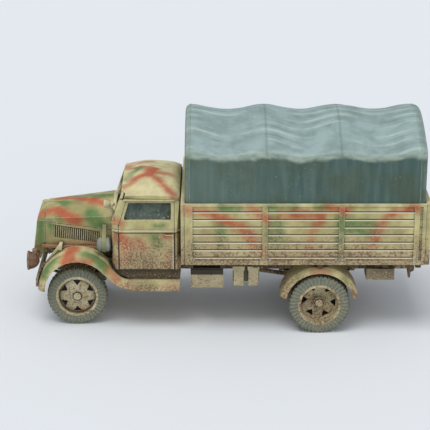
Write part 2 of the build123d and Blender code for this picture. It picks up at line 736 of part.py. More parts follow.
# Cab rear wall with its wrapped corners and the small rear window
wall = 0.6
corner = 0.8
rear_window_z = 24.6
rear_window_width = 6.4
rear_window_height = 2.8
pane_lap = 0.2
with BuildPart() as cab_rear_wall:
    with BuildSketch(Plane.XY.offset(cab_bottom)):
        with BuildLine():
            Polyline((cab_rear, -cab_half_width + corner), (cab_rear + corner, -cab_half_width),
                     (door_rear, -cab_half_width), (door_rear, -cab_half_width + wall),
                     (cab_rear + wall, -cab_half_width + wall), (cab_rear + wall, cab_half_width - wall),
                     (door_rear, cab_half_width - wall), (door_rear, cab_half_width),
                     (cab_rear + corner, cab_half_width), (cab_rear, cab_half_width - corner), close=True)
        make_face()
    extrude(amount=door_top - cab_bottom)
    with BuildSketch(Plane.YZ.offset(cab_rear)):
        with BuildLine():
            Polyline((-cab_half_width, cab_bottom), (cab_half_width, cab_bottom), (cab_half_width, belt_z),
                     (door_top_y, door_top), (-door_top_y, door_top), (-cab_half_width, belt_z), close=True)
        make_face()
    extrude(amount=10, both=True, mode=Mode.INTERSECT)
    with BuildSketch(Plane.YZ.offset(cab_rear)):
        with Locations((0, rear_window_z)):
            RectangleRounded(rear_window_width, rear_window_height, 0.4)
    extrude(amount=5, both=True, mode=Mode.SUBTRACT)
    belt_start = cab_rear + corner
    for sign in (1, -1):
        with Locations(((belt_start + door_rear) / 2, sign * cab_half_width, (belt_low + belt_z) / 2)):
            Box(door_rear - belt_start, 2 * belt_proud, belt_z - belt_low)
cab_rear_wall.part.label = "cab_rear_wall"
export_step(cab_rear_wall.part, "parts/cab_rear_wall.step")

# Roof: a crowned pressing over the header, closed at its ends and open underneath
drip = 0.26
drip_front = 20.9
drip_rear = 10.4
# Columns: x, half width, top of the side, crown
roof_stations = (
    (21.35, 10.5, 28.5, 30.2),
    (18.6, 11.1, 28.6, 31.0),
    (15.0, 11.3, 28.7, roof_crown),
    (12.2, 11.3, 28.6, 31.0),
    (10.2, 11.2, 28.3, 30.2),
    (9.5, 11.0, 28.0, 29.2),
)
roof_inner_stations = ((20.85, 10.6, 28.5, 30.3), *roof_stations[1:4], (10.0, 11.1, 28.2, 29.9))


def roof_section(x, half, side_top, crown, low):
    """Outline of the roof across the cab."""
    with BuildSketch(Plane.YZ.offset(x)) as section:
        with BuildLine():
            Line((-half, low), (half, low))
            Line((half, low), (half, side_top))
            ThreePointArc((half, side_top), (0, crown), (-half, side_top))
            Line((-half, side_top), (-half, low))
        make_face()
    return section.sketch


with BuildPart() as roof_outer:
    for x, half, side_top, crown in roof_stations:
        add(roof_section(x, half, side_top, crown, door_top + 0.05))
    loft()
with BuildPart() as roof_inner:
    for x, half, side_top, crown in roof_inner_stations:
        add(roof_section(x, half - roof_wall, side_top - roof_wall, crown - roof_wall, door_top - 1))
    loft()
with BuildPart() as cab_roof:
    add(roof_outer.part)
    add(roof_inner.part, mode=Mode.SUBTRACT)
    # Its front edge laps over the head of the windscreen.
    with BuildSketch(screen_plane.offset(-screen_thickness - glass - 0.05)):
        Rectangle(30, 2 * screen_height + 0.1)
    extrude(amount=4, mode=Mode.SUBTRACT)
    # Drip rails over the doors
    for sign in (1, -1):
        with Locations(((drip_front + drip_rear) / 2, sign * 11.3, door_top + 0.05 + drip / 2)):
            Box(drip_front - drip_rear, 2 * drip, drip)
cab_roof.part.label = "cab_roof"
export_step(cab_roof.part, "parts/cab_roof.step")

# Cowl: top and front of the cab's nose
cowl_front = 23.5
cowl_top = 22.55

hump_rear = 22.2
cowl_rear = door_front + 0.02


def cowl_outline(grow):
    """The cowl seen from above, grown by that much at its corners."""
    half = cab_half_width + grow
    flat = cab_half_width - 2.4 + grow
    bend_x = cowl_front - 0.5 + 0.7 * grow
    bend_y = cab_half_width - 0.7 + 0.7 * grow
    with BuildLine() as outline:
        Line((cowl_rear, -half), (cowl_rear, half))
        ThreePointArc((cowl_rear, half), (bend_x, bend_y), (cowl_front, flat))
        Line((cowl_front, flat), (cowl_front, -flat))
        ThreePointArc((cowl_front, -flat), (bend_x, -bend_y), (cowl_rear, -half))
    return outline.line


# Windscreen frame: a slanted plate with two lights, and the pillars beside it that meet the doors
light_y = 5.1
light_v = screen_height / 2 - 0.1
light_width = 9.2
light_height = 3.6
pillar_low = cowl_top + 0.05
with BuildPart() as screen_pillar:
    add(side_shell(panel, belt_z - 1, door_front - 3, door_front + 3))
    with BuildSketch(Plane.XZ):
        with BuildLine():
            slant = (door_slant_foot[0] - door_slant_head[0]) / (door_slant_head[1] - door_slant_foot[1])
            pillar_foot = door_slant_foot[0] + 0.1 - slant * (pillar_low - door_slant_foot[1])
            Polyline((pillar_foot, pillar_low), (screen_x(pillar_low), pillar_low),
                     (screen_x(door_top), door_top), (door_slant_head[0] + 0.1, door_top), close=True)
        make_face()
    extrude(amount=20, both=True, mode=Mode.INTERSECT)
    with BuildSketch(Plane.XY.offset(pillar_low)):
        add(cowl_outline(0))
        make_face()
        with Locations((cowl_rear - 5, 0)):
            Rectangle(10, 2 * cab_half_width)
    extrude(amount=door_top - pillar_low, mode=Mode.INTERSECT)
with BuildPart() as windscreen_frame:
    with BuildSketch(screen_plane):
        with BuildLine():
            Polyline((-11.2, -1.2), (11.2, -1.2), (10.6, screen_height - 0.9), (9.6, screen_height),
                     (-9.6, screen_height), (-10.6, screen_height - 0.9), close=True)
        make_face()
        with Locations((-light_y, light_v), (light_y, light_v)):
            RectangleRounded(light_width, light_height, 0.4, mode=Mode.SUBTRACT)
    extrude(amount=-screen_thickness)
    add(screen_pillar.part)
    add(screen_pillar.part.mirror(Plane.XZ))
windscreen_frame.part.label = "windscreen_frame"
export_step(windscreen_frame.part, "parts/windscreen_frame.step")

# All the panes: two in the windscreen, one in each door, one behind
with BuildPart() as cab_glass:
    with BuildSketch(screen_plane.offset(-screen_thickness - pane_seat)):
        with Locations((-light_y, light_v), (light_y, light_v)):
            Rectangle(light_width + 2 * pane_lap, light_height + 2 * pane_lap)
    extrude(amount=-glass)
    with Locations((cab_rear + wall + pane_seat + glass / 2, 0, rear_window_z)):
        Box(glass, rear_window_width + 2 * pane_lap, rear_window_height + 2 * pane_lap)
    add(door_pane.part)
    add(door_pane.part.mirror(Plane.XZ))
cab_glass.part.label = "cab_glass"
export_step(cab_glass.part, "parts/cab_glass.step")

# Cowl: the front of the cab, rounded at its corners, with the hump that joins the hood to the windscreen
_, hood_half, _, hood_side_top, hood_crown = hood_stations[0]
with BuildPart() as cowl_hump:
    add(hood_section(cowl_front, hood_half, cowl_top - 0.5, hood_side_top, hood_crown, 0))
    add(hood_section(hump_rear, 10.4, cowl_top - 0.5, hood_side_top + 0.1, hood_crown - 0.3, 0))
    loft()
    with BuildSketch(screen_plane.offset(0.02)):
        Rectangle(30, 12)
    extrude(amount=-4, mode=Mode.SUBTRACT)
with BuildPart() as cowl:
    with BuildSketch(Plane.XY.offset(cab_bottom)):
        add(cowl_outline(0))
        make_face()
    extrude(amount=cowl_top - cab_bottom)
    with BuildSketch(Plane.XY.offset(belt_low)):
        add(cowl_outline(belt_proud))
        make_face()
    extrude(amount=belt_z - belt_low)
    with Locations((cowl_front - 0.6 - 1.0, 0, (cowl_top - 0.5 + cab_bottom) / 2)):
        Box(2.0, 2 * cab_half_width - 2.4, cowl_top - 0.5 - cab_bottom, mode=Mode.SUBTRACT)
    add(cowl_hump.part)
    # Its foot is cut along the slope of the fender.
    with BuildSketch(Plane.XZ):
        with BuildLine():
            slope_clear = slope_top[1] - slope_top[0] + 0.1
            Polyline((cab_bottom - 1 - slope_clear, cab_bottom - 1), (cowl_front + 1, cab_bottom - 1),
                     (cowl_front + 1, cowl_front + 1 + slope_clear), close=True)
        make_face()
    extrude(amount=20, both=True, mode=Mode.SUBTRACT)
cowl.part.label = "cowl"
export_step(cowl.part, "parts/cowl.step")

# Seat: base, cushion and back rest
seat_x = 14.6
cushion_z = 15.95
with BuildPart() as seat:
    with Locations((seat_x, 0, cushion_z)):
        Box(5.2, 19.0, 1.6)
    with Locations((seat_x - 3.0, 0, cushion_z + 2.65)):
        Box(1.2, 19.0, 7.0)
    with Locations((seat_x, 0, cushion_z - 1.65)):
        Box(4.4, 18.0, 2.0)
seat.part.label = "seat"
export_step(seat.part, "parts/seat.step")

# Dashboard across the cab under the windscreen
dashboard_x = 21.2
dashboard_z = 20.6
with BuildPart() as dashboard:
    with Locations((dashboard_x, 0, dashboard_z)):
        Box(0.8, 21.4, 2.6)
dashboard.part.label = "dashboard"
export_step(dashboard.part, "parts/dashboard.step")

# Steering wheel with two crossed spokes, and its column down to the floor
steering_y = 5.2
steering_wheel_radius = 2.9
steering_rim = 0.4
wheel_centre = Vector(17.9, steering_y, 20.6)
column_foot = Vector(22.18, steering_y, cab_bottom + cab_floor_thickness + 0.14)
column = wheel_centre - column_foot
column_plane = Plane(origin=wheel_centre, z_dir=column)
with BuildPart() as steering_wheel:
    with BuildSketch(column_plane.offset(-column.length)):
        Circle(0.25)
    extrude(amount=column.length)
    with BuildSketch(column_plane):
        Circle(steering_wheel_radius)
        Circle(steering_wheel_radius - steering_rim, mode=Mode.SUBTRACT)
        Rectangle(2 * steering_wheel_radius - steering_rim, 0.35)
        Rectangle(0.35, 2 * steering_wheel_radius - steering_rim)
    extrude(amount=0.35)
steering_wheel.part.label = "steering_wheel"
export_step(steering_wheel.part, "parts/steering_wheel.step")

# Bed floor, its cross sills and the two bearers on the rails
bearer_top = board_bottom - sill_depth
bearer_width = 1.2
sill_width = 1.1
sill_count = 8
bed_middle = (bed_front + bed_rear) / 2
bed_length = bed_front - bed_rear
bed_inside = 2 * (bed_half_width - board_thickness)
with BuildPart() as bed_floor:
    with Locations((bed_middle, 0, board_bottom + floor_thickness / 2)):
        Box(bed_length - 2 * board_thickness, bed_inside, floor_thickness)
bed_floor.part.label = "bed_floor"
export_step(bed_floor.part, "parts/bed_floor.step")

sill_end = 1.7
sill_pitch = (bed_length - 2 * sill_end) / (sill_count - 1)
sill_xs = [bed_front - sill_end - i * sill_pitch for i in range(sill_count)]
with BuildPart() as bed_sills:
    with Locations(*[(x, 0, board_bottom - sill_depth / 2) for x in sill_xs]):
        Box(sill_width, bed_inside, sill_depth)
bed_sills.part.label = "bed_sills"
export_step(bed_sills.part, "parts/bed_sills.step")

with BuildPart() as bed_bearers:
    for sign in (1, -1):
        with Locations((bed_middle, sign * (rail_y - bearer_width / 2), (bearer_top + rail_top) / 2)):
            Box(bed_length - 2, bearer_width, bearer_top - rail_top)
bed_bearers.part.label = "bed_bearers"
export_step(bed_bearers.part, "parts/bed_bearers.step")

# Bed walls: boards with rails, end posts and uprights
top_rail = 0.5
bottom_rail = 1.0
end_post = 0.7
upright_width = 1.1


def wall_trim(length, wall_plane, upright_places, proud):
    """Rails, end posts and uprights that stand proud of a boarded wall."""
    height = board_top - board_bottom
    middle = (board_bottom + board_top) / 2
    with BuildPart() as trim:
        with BuildSketch(wall_plane):
            with Locations((length / 2, middle)):
                Rectangle(length, height)
            with Locations((length / 2, middle + (bottom_rail - top_rail) / 2)):
                Rectangle(length - 2 * end_post, height - top_rail - bottom_rail, mode=Mode.SUBTRACT)
            with Locations(*[(place, middle) for place in upright_places]):
                Rectangle(upright_width, height)
        extrude(amount=proud)
    return trim.part


def board_wall(length, wall_plane):
    """A boarded wall in wall_plane, local x along it and y up, with grooves on the face at z = 0."""
    plank = (board_top - board_bottom) / plank_count
    with BuildPart() as wall_part:
        with BuildSketch(wall_plane):
            with Locations((length / 2, (board_bottom + board_top) / 2)):
                Rectangle(length, board_top - board_bottom)
        extrude(amount=-board_thickness)
        with BuildSketch(wall_plane):
            with Locations(*[(length / 2, board_bottom + i * plank) for i in range(1, plank_count)]):
                Rectangle(length, groove)
        extrude(amount=-groove, mode=Mode.SUBTRACT)
    return wall_part.part


side_front = bed_front - board_thickness
side_rear = bed_rear + board_thickness
post_xs = (7.4, -7.7, -23.1, -38.2)
trim_proud = 0.2
left_wall_plane = Plane(origin=(side_front, bed_half_width, 0), x_dir=(-1, 0, 0), z_dir=(0, 1, 0))
left_wall = board_wall(side_front - side_rear, left_wall_plane)
left_posts = [side_front - x for x in post_xs]
for side, sign in sides:
    with BuildPart() as bed_side:
        add(left_wall)
        add(wall_trim(side_front - side_rear, left_wall_plane, left_posts, trim_proud))
    with BuildPart() as placed_side:
        add(bed_side.part if sign > 0 else bed_side.part.mirror(Plane.XZ))
    placed_side.part.label = f"bed_side_{side}"
    export_step(placed_side.part, f"parts/bed_side_{side}.step")

front_plane = Plane(origin=(bed_front, -bed_half_width, 0), x_dir=(0, 1, 0), z_dir=(1, 0, 0))
rear_plane = Plane(origin=(bed_rear, bed_half_width, 0), x_dir=(0, -1, 0), z_dir=(-1, 0, 0))
upright_inset = 8.2
upright_ys = (upright_inset, 2 * bed_half_width - upright_inset)
# Columns: node name, plane, how far the trim stands proud
end_walls = (
    ("headboard", front_plane, trim_proud),
    ("tailgate", rear_plane, upright_depth),
)
for name, wall_plane, proud in end_walls:
    with BuildPart() as end_wall:
        add(board_wall(2 * bed_half_width, wall_plane))
        add(wall_trim(2 * bed_half_width, wall_plane, upright_ys, proud))
    end_wall.part.label = name
    export_step(end_wall.part, f"parts/{name}.step")

# Canvas tilt: closed at its ends, open downwards to the bed
tilt_half = bed_half_width - board_thickness - tilt_inset
tilt_front = bed_front - board_thickness - tilt_inset
tilt_rear = bed_rear + board_thickness + tilt_inset
tilt_foot = board_top - 1.0


def tilt_block(shrink, low):
    """The outline of the tilt, taken in by shrink, from low up to its ridge."""
    half = tilt_half - shrink
    shoulder = tilt_shoulder - shrink
    with BuildPart() as block:
        with BuildSketch(Plane.YZ.offset(tilt_rear + shrink)):
            with BuildLine():
                Line((-half, low), (half, low))
                Line((half, low), (half, shoulder))
                ThreePointArc((half, shoulder), (0, tilt_ridge - shrink), (-half, shoulder))
                Line((-half, shoulder), (-half, low))
            make_face()
        extrude(amount=tilt_front - tilt_rear - 2 * shrink)
    return block.part


with BuildPart() as canvas_tilt:
    add(tilt_block(0, tilt_foot))
    add(tilt_block(tilt_wall, tilt_foot - 1), mode=Mode.SUBTRACT)
canvas_tilt.part.label = "canvas_tilt"
export_step(canvas_tilt.part, "parts/canvas_tilt.step")

# Tool boxes under the front of the bed, on brackets at the rails and a sill, with raised door panels
tool_box_x = 4.0
tool_box_z = 11.45
tool_box_length = 6.7
tool_box_height = 4.3
tool_box_inner_y = 5.4
tool_box_outer_y = 13.0
tool_box_top = tool_box_z + tool_box_height / 2
door_proud = 0.12
with BuildPart() as tool_boxes:
    for sign in (1, -1):
        with Locations((tool_box_x, sign * (tool_box_inner_y + tool_box_outer_y) / 2, tool_box_z)):
            Box(tool_box_length, tool_box_outer_y - tool_box_inner_y, tool_box_height)
        with Locations((tool_box_x, sign * tool_box_outer_y, tool_box_z + 0.05)):
            Box(tool_box_length - 0.6, 2 * door_proud, tool_box_height - 0.7)
        with Locations((tool_box_x, sign * (rail_y + tool_box_inner_y) / 2, (rail_top + rail_bottom) / 2)):
            Box(3.0, tool_box_inner_y - rail_y, 1.2)
        with Locations((sill_xs[1] + 0.25, sign * tool_box_outer_y * 0.8, (tool_box_top + bearer_top) / 2)):
            Box(0.6, 1.6, bearer_top - tool_box_top)
tool_boxes.part.label = "tool_boxes"
export_step(tool_boxes.part, "parts/tool_boxes.step")

# Canister rack behind the left tool box: a plate hung from a sill, with two canisters
rack_x = -4.0
rack_y = 12.0
rack_z = 12.2
rack_height = 3.6
rack_top = rack_z + rack_height / 2
canister_places = (rack_x + 1.5, rack_x - 1.5)
canister_low = 10.0
canister_depth = 1.4
with BuildPart() as canister_rack:
    with Locations((rack_x, rack_y, rack_z)):
        Box(5.4, 0.6, rack_height)
    for x in canister_places:
        with BuildSketch(Plane.XZ.offset(-rack_y - 0.3 - canister_depth)):
            with BuildLine(Location((x, canister_low))):
                Polyline((-1.0, 0), (1.0, 0), (1.0, 3.1), (1.2, 3.5), (1.2, 4.2), (-1.2, 4.2),
                         (-1.2, 3.5), (-1.0, 3.1), close=True)
            make_face()
        extrude(amount=canister_depth)
    with Locations((rack_x, (rail_y + rack_y) / 2, rail_top - 0.6)):
        Box(1.0, rack_y - rail_y, 0.5)
    with Locations((sill_xs[2], rack_y, (rack_top + bearer_top) / 2)):
        Box(1.0, 0.6, bearer_top - rack_top)
canister_rack.part.label = "canister_rack"
export_step(canister_rack.part, "parts/canister_rack.step")

# Box behind the rear wheels, hung from the sills
rear_box_x = rear_axle_x - 12.35
rear_box_y = 12.0
rear_box_z = 12.7
rear_box_height = 2.4
rear_box_top = rear_box_z + rear_box_height / 2
with BuildPart() as rear_box:
    with Locations((rear_box_x, rear_box_y, rear_box_z)):
        Box(5.7, 4.6, rear_box_height)
    with Locations((rear_box_x, rear_box_y, (rear_box_top + bearer_top) / 2)):
        Box(2.0, 3.0, bearer_top - rear_box_top)
rear_box.part.label = "rear_box"
export_step(rear_box.part, "parts/rear_box.step")

# Hooked bracket under the last sill on the left
bracket_y = 9.0
bracket_x = sill_xs[-1]
with BuildPart() as tail_bracket:
    with BuildSketch(Plane.XZ.offset(-bracket_y - 0.4)):
        with BuildLine(Location((bracket_x, bearer_top))):
            Polyline((1.6, 0), (0, 0), (0, -2.9), (0.7, -3.3), (0.8, -4.5), (1.2, -4.5), (1.6, -2.0), close=True)
        make_face()
    extrude(amount=0.8)
tail_bracket.part.label = "tail_bracket"
export_step(tail_bracket.part, "parts/tail_bracket.step")

# Side lamp on the left windscreen pillar: a bell and a round housing behind it, on an arm
lamp_y = 9.6
lamp_z = 26.3
lamp_face = 25.0
with BuildPart() as side_lamps:
    with BuildSketch(Plane.XY.offset(lamp_z)):
        with BuildLine(Location((lamp_face, lamp_y))):
            Polyline((0, 0), (0, 0.85), (-0.3, 0.85), (-0.9, 0.65), (-1.3, 0.3), (-1.45, 0.5), (-1.9, 0.5),
                     (-2.2, 0.25), (-2.2, 0), close=True)
        make_face()
    revolve(axis=Axis((0, lamp_y, lamp_z), (1, 0, 0)))
    with BuildSketch(Plane.XZ.offset(-lamp_y - 0.2)):
        with BuildLine():
            arm_low = lamp_z - 2.2
            arm_top = arm_low + 0.6
            Polyline((screen_x(arm_low) + 0.02, arm_low), (lamp_face - 0.5, lamp_z - 0.6),
                     (lamp_face - 1.0, lamp_z - 0.4), (screen_x(arm_top) + 0.02, arm_top), close=True)
        make_face()
    extrude(amount=0.4)
side_lamps.part.label = "side_lamps"
export_step(side_lamps.part, "parts/side_lamps.step")

# Air cleaner drum beside the hood on the left, and the strap that holds it
drum_y = 9.3
drum_z = 17.35
air_drum_radius = 1.48
air_drum_front = 26.7
air_drum_rear = cowl_front + 0.15
strap_width = 0.8
strap_thickness = 0.14
strap_x = (air_drum_front + air_drum_rear) / 2
drum_axis = Axis((0, drum_y, drum_z), (1, 0, 0))
with BuildPart() as air_cleaner:
    with BuildSketch(Plane.XY.offset(drum_z)):
        with BuildLine(Location((strap_x, drum_y))):
            half_drum = (air_drum_front - air_drum_rear) / 2
            Line((-half_drum, 0), (-half_drum, 0.7))
            ThreePointArc((-half_drum, 0.7), (-half_drum + 0.35, 1.3), (-half_drum + 1.0, air_drum_radius))
            Polyline((-half_drum + 1.0, air_drum_radius), (half_drum - 1.0, air_drum_radius))
            ThreePointArc((half_drum - 1.0, air_drum_radius), (half_drum - 0.35, 1.3), (half_drum, 0.7))
            Polyline((half_drum, 0.7), (half_drum, 0), (-half_drum, 0))
        make_face()
    revolve(axis=drum_axis)
air_cleaner.part.label = "air_cleaner"
export_step(air_cleaner.part, "parts/air_cleaner.step")

hanger_y = 7.1
with BuildPart() as air_cleaner_strap:
    with BuildSketch(Plane.YZ.offset(strap_x - strap_width / 2)):
        with BuildLine():
            Polyline((hanger_y, drum_z + 3.55), (hanger_y, drum_z + 2.95),
                     (drum_y - 0.2, drum_z + air_drum_radius), (drum_y + 0.6, drum_z + 1.35), close=True)
        make_face()
        with Locations((drum_y, drum_z)):
            Circle(air_drum_radius + strap_thickness)
            Circle(air_drum_radius + 0.02, mode=Mode.SUBTRACT)
    extrude(amount=strap_width)
air_cleaner_strap.part.label = "air_cleaner_strap"
export_step(air_cleaner_strap.part, "parts/air_cleaner_strap.step")

# Stays from the front fenders to the hood sides: a bent post and a brace
stay_y = 8.5
stay_inner_y = 6.4
stay_x = 34.3
stay_width = 0.7
stay_top = 16.9


def fender_height(x):
    """Height of the fender's crown at x."""
    return fender_z + (fender_radius ** 2 - (x - fender_x) ** 2) ** 0.5


with BuildPart() as fender_stay:
    with BuildSketch(Plane.YZ.offset(stay_x - stay_width / 2)):
        with BuildLine():
            stay_foot = fender_height(stay_x - stay_width / 2) + 0.03
            Polyline((stay_y + 0.2, stay_foot), (stay_y + 0.2, stay_top), (stay_inner_y, stay_top),
                     (stay_inner_y, stay_top - 0.4), (stay_y - 0.2, stay_top - 0.4),
                     (stay_y - 0.2, stay_foot), close=True)
        make_face()
    extrude(amount=stay_width)
    with BuildSketch(Plane.XZ.offset(-stay_y - 0.2)):
        with BuildLine():
            brace_x = stay_x + 2.9
            brace_foot = fender_height(brace_x) + 0.2
            Polyline((stay_x, stay_top), (stay_x + 0.4, stay_top), (brace_x + 0.3, brace_foot),
                     (brace_x - 0.1, brace_foot), (stay_x, stay_top - 0.5), close=True)
        make_face()
    extrude(amount=0.4)
with BuildPart() as fender_stays:
    add(fender_stay.part)
    add(fender_stay.part.mirror(Plane.XZ))
fender_stays.part.label = "fender_stays"
export_step(fender_stays.part, "parts/fender_stays.step")

# Tow coupling: a jaw block on the last cross member with an upright pin hole
coupling_z = rail_bottom + 1.2
coupling_length = 2.0
coupling_height = 1.6
coupling_pin_radius = 0.4
with BuildPart() as tow_hook:
    with Locations((rail_rear - coupling_length / 2, 0, coupling_z)):
        Box(coupling_length, 1.8, coupling_height)
    fillet(tow_hook.edges().filter_by(Axis.Z).group_by(Axis.X)[0], 0.6)
    with Locations((rail_rear - coupling_length + 0.9, 0, coupling_z)):
        Cylinder(coupling_pin_radius, coupling_height, mode=Mode.SUBTRACT)
tow_hook.part.label = "tow_hook"
export_step(tow_hook.part, "parts/tow_hook.step")
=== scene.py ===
import math
from collections import namedtuple

import bmesh
import bpy
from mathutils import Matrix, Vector, noise as terrain


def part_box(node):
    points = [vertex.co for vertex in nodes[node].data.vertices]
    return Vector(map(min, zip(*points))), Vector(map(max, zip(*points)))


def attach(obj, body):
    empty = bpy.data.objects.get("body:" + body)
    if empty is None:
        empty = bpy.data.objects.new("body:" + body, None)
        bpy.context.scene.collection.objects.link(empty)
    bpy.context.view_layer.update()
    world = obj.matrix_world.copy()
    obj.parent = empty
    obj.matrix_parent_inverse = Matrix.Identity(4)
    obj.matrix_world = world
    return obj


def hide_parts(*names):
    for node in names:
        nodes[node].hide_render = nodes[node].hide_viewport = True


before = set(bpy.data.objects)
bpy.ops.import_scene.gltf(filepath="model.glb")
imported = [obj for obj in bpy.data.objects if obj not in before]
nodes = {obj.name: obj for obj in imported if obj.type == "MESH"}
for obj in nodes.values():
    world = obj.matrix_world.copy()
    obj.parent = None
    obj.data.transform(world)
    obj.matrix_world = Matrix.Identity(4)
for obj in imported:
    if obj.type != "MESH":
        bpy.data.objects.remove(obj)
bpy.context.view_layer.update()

# The truck is a small scale model, so sizes are written in millimetres and turned into metres.
MM = 0.001


def mm(x, y, z):
    """A point in millimetres as a vector in metres."""
    return Vector((x, y, z)) * MM


def corners(node):
    """Lowest and highest corner of a CAD node, in millimetres."""
    low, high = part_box(node)
    return low / MM, high / MM


def add_object(name, data):
    """A new object in the scene."""
    made = bpy.data.objects.new(name, data)
    bpy.context.scene.collection.objects.link(made)
    return made


# Camera, at the photograph's viewing angle
IMAGE_SIDE = 430
FOCAL_PIXELS = 1550
SENSOR = 36.0
CAMERA_PLACE = (2.35, 307.3, 132.25)
CAMERA_PITCH = 20.0
NEAREST = 0.001
FARTHEST = 50.0

camera_data = bpy.data.cameras.new("camera")
camera_data.sensor_width = SENSOR
camera_data.lens = SENSOR * FOCAL_PIXELS / IMAGE_SIDE
camera_data.clip_start = NEAREST
camera_data.clip_end = FARTHEST
camera = add_object("camera", camera_data)
camera.location = mm(*CAMERA_PLACE)
camera.rotation_euler = (math.radians(90 - CAMERA_PITCH), 0, math.radians(180))
bpy.context.scene.camera = camera


# Node helpers for the materials
def add_node(tree, kind, inputs=(), **settings):
    """A new shader node. inputs gives each socket a value or another node's output."""
    made = tree.nodes.new(kind)
    for key, value in settings.items():
        setattr(made, key, value)
    for key, value in dict(inputs).items():
        if isinstance(value, bpy.types.NodeSocket):
            tree.links.new(value, made.inputs[key])
        else:
            made.inputs[key].default_value = value
    return made


def maths(tree, operation, a, b=0.0, clamp=False):
    """The output of one Math node."""
    sockets = {0: a, 1: b}
    return add_node(tree, "ShaderNodeMath", sockets, operation=operation, use_clamp=clamp).outputs[0]


def product(tree, first, *others):
    """All the values multiplied."""
    for other in others:
        first = maths(tree, "MULTIPLY", first, other)
    return first


def highest(tree, first, *others):
    """The greatest of the values."""
    for other in others:
        first = maths(tree, "MAXIMUM", first, other)
    return first


def apart(tree, value, middle):
    """How far value, in metres, is from middle, in millimetres."""
    return maths(tree, "ABSOLUTE", maths(tree, "SUBTRACT", value, middle * MM))


def sway(tree, value, amount):
    """Noise turned into a push of up to half of amount either way, for amount in millimetres."""
    return product(tree, maths(tree, "SUBTRACT", value, 0.5), amount * MM)


def below(tree, value, limit):
    """1 where value is under a limit in millimetres, and 0 elsewhere."""
    return maths(tree, "LESS_THAN", value, limit * MM)


def above(tree, value, limit):
    """1 where value is over a limit in millimetres, and 0 elsewhere."""
    return maths(tree, "GREATER_THAN", value, limit * MM)


def vector_maths(tree, operation, a, b, output="Vector"):
    """The output of one Vector Math node."""
    return add_node(tree, "ShaderNodeVectorMath", {0: a, 1: b}, operation=operation).outputs[output]


def axes(tree, vector):
    """The outputs X, Y and Z of a vector."""
    return add_node(tree, "ShaderNodeSeparateXYZ", {0: vector}).outputs


def facing(tree):
    """The direction that the surface faces."""
    return add_node(tree, "ShaderNodeNewGeometry").outputs["Normal"]


def openness(tree, reach):
    """1 in the open, and less in a corner whose sides are within reach of each other."""
    return add_node(tree, "ShaderNodeAmbientOcclusion", {"Distance": reach * MM}, samples=6).outputs["AO"]


def ramp(tree, value, low, high, to_low=0.0, to_high=1.0):
    """Value moved from the range low to high into the range to_low to to_high, with soft ends."""
    sockets = {"Value": value, "From Min": low, "From Max": high, "To Min": to_low, "To Max": to_high}
    return add_node(tree, "ShaderNodeMapRange", sockets, interpolation_type="SMOOTHSTEP").outputs[0]


def mix(tree, share, first, second, blend="MIX"):
    """Two colours mixed by share."""
    sockets = {0: share, 6: first, 7: second}
    return add_node(tree, "ShaderNodeMix", sockets, data_type="RGBA", blend_type=blend).outputs[2]


def noise(tree, place, scale, detail=3.0, roughness=0.6):
    """Noise from 0 to 1. Scale is in bumps to the millimetre."""
    sockets = {"Vector": place, "Scale": scale / MM, "Detail": detail, "Roughness": roughness}
    return add_node(tree, "ShaderNodeTexNoise", sockets).outputs["Fac"]


def stretched(tree, place, x, y, z):
    """Place scaled along each axis, which draws noise out into streaks."""
    return vector_maths(tree, "MULTIPLY", place, (x, y, z))


def rgb(red, green, blue):
    """A colour as it shows on the screen, each part from 0 to 255, turned into linear light."""
    linear = []
    for value in (red, green, blue):
        share = value / 255
        linear.append(share / 12.92 if share <= 0.04045 else ((share + 0.055) / 1.055) ** 2.4)
    return (*linear, 1.0)


# Body paint, its camouflage and its weathering
CREAM = rgb(204, 196, 142)
OCHRE = rgb(164, 156, 104)
PALE_TOP_TONE = rgb(226, 214, 172)
RED_BROWN = rgb(176, 86, 56)
GREEN = rgb(84, 118, 66)
MUD = rgb(146, 112, 74)
DARK_MUD = rgb(74, 54, 36)
PALE_MUD = rgb(206, 194, 160)
DARK_WASH_AND_SHADE = rgb(40, 34, 26)
EDGE_WEAR_AND_HIGHLIGHT = rgb(238, 228, 196)
BOX_CREAM = rgb(206, 198, 162)
BOX_OCHRE = rgb(178, 168, 132)
BOX_PAINTED_SHADOW = rgb(30, 27, 22)

RUBBER_DARK = rgb(78, 86, 80)
RUBBER_GREY = rgb(104, 112, 102)
RUBBER_DUST = rgb(130, 126, 104)
RUBBER_WEAR_AND_HIGHLIGHT = rgb(176, 180, 160)
GROOVE_DUST = rgb(172, 170, 142)

CANVAS_LIGHT = rgb(92, 112, 104)
CANVAS_DARK = rgb(74, 98, 94)
CANVAS_STREAK = rgb(112, 130, 120)
CANVAS_STAIN = rgb(82, 90, 66)
CANVAS_UPPER_PALE = rgb(158, 178, 176)
CANVAS_HOLLOW_SHADE = rgb(104, 128, 124)
CANVAS_CREST_HIGHLIGHT = rgb(186, 200, 190)
CANVAS_BAND = rgb(176, 192, 180)
CANVAS_RAISED_HIGHLIGHT = rgb(138, 154, 136)
CANVAS_SPECK = rgb(184, 186, 164)
CANVAS_SEAM_AND_SHADE = rgb(40, 56, 52)

PANE = rgb(206, 214, 212)
PANE_FILM = rgb(120, 132, 122)
PANE_SPECK = rgb(176, 182, 168)
LENS_CLEAN = rgb(196, 200, 190)
LENS_DUSTY = rgb(150, 150, 134)

FLOOR_COLOUR = rgb(226, 229, 232)
SKY_LIT = rgb(232, 236, 242)
SKY_SEEN = rgb(224, 228, 236)

# Slot names of the finishes
BODY_SLOT = "camouflage_paint"
GEAR_SLOT = "dark_running_gear"
WINDOW_SLOT = "window"

# Canvas tilt: places of its four bows and of the seams sewn across it, along X in millimetres
BOW_PLACES = (7.5, -7.9, -22.8, -38.2)
BOW_PITCH = 15.2
SEAM_PLACES = (-7.9, -22.8, -39.2)
# Pale band along its shoulder: height, how far it rises at the bows, and how far it wavers
BAND_HEIGHT = 38.1
BAND_SWING = 0.4
BAND_WAVER = 1.8
# Half widths of the tilt at which the band starts to show and is full
SHOULDER_FROM = 13.8
SHOULDER_FULL = 14.6
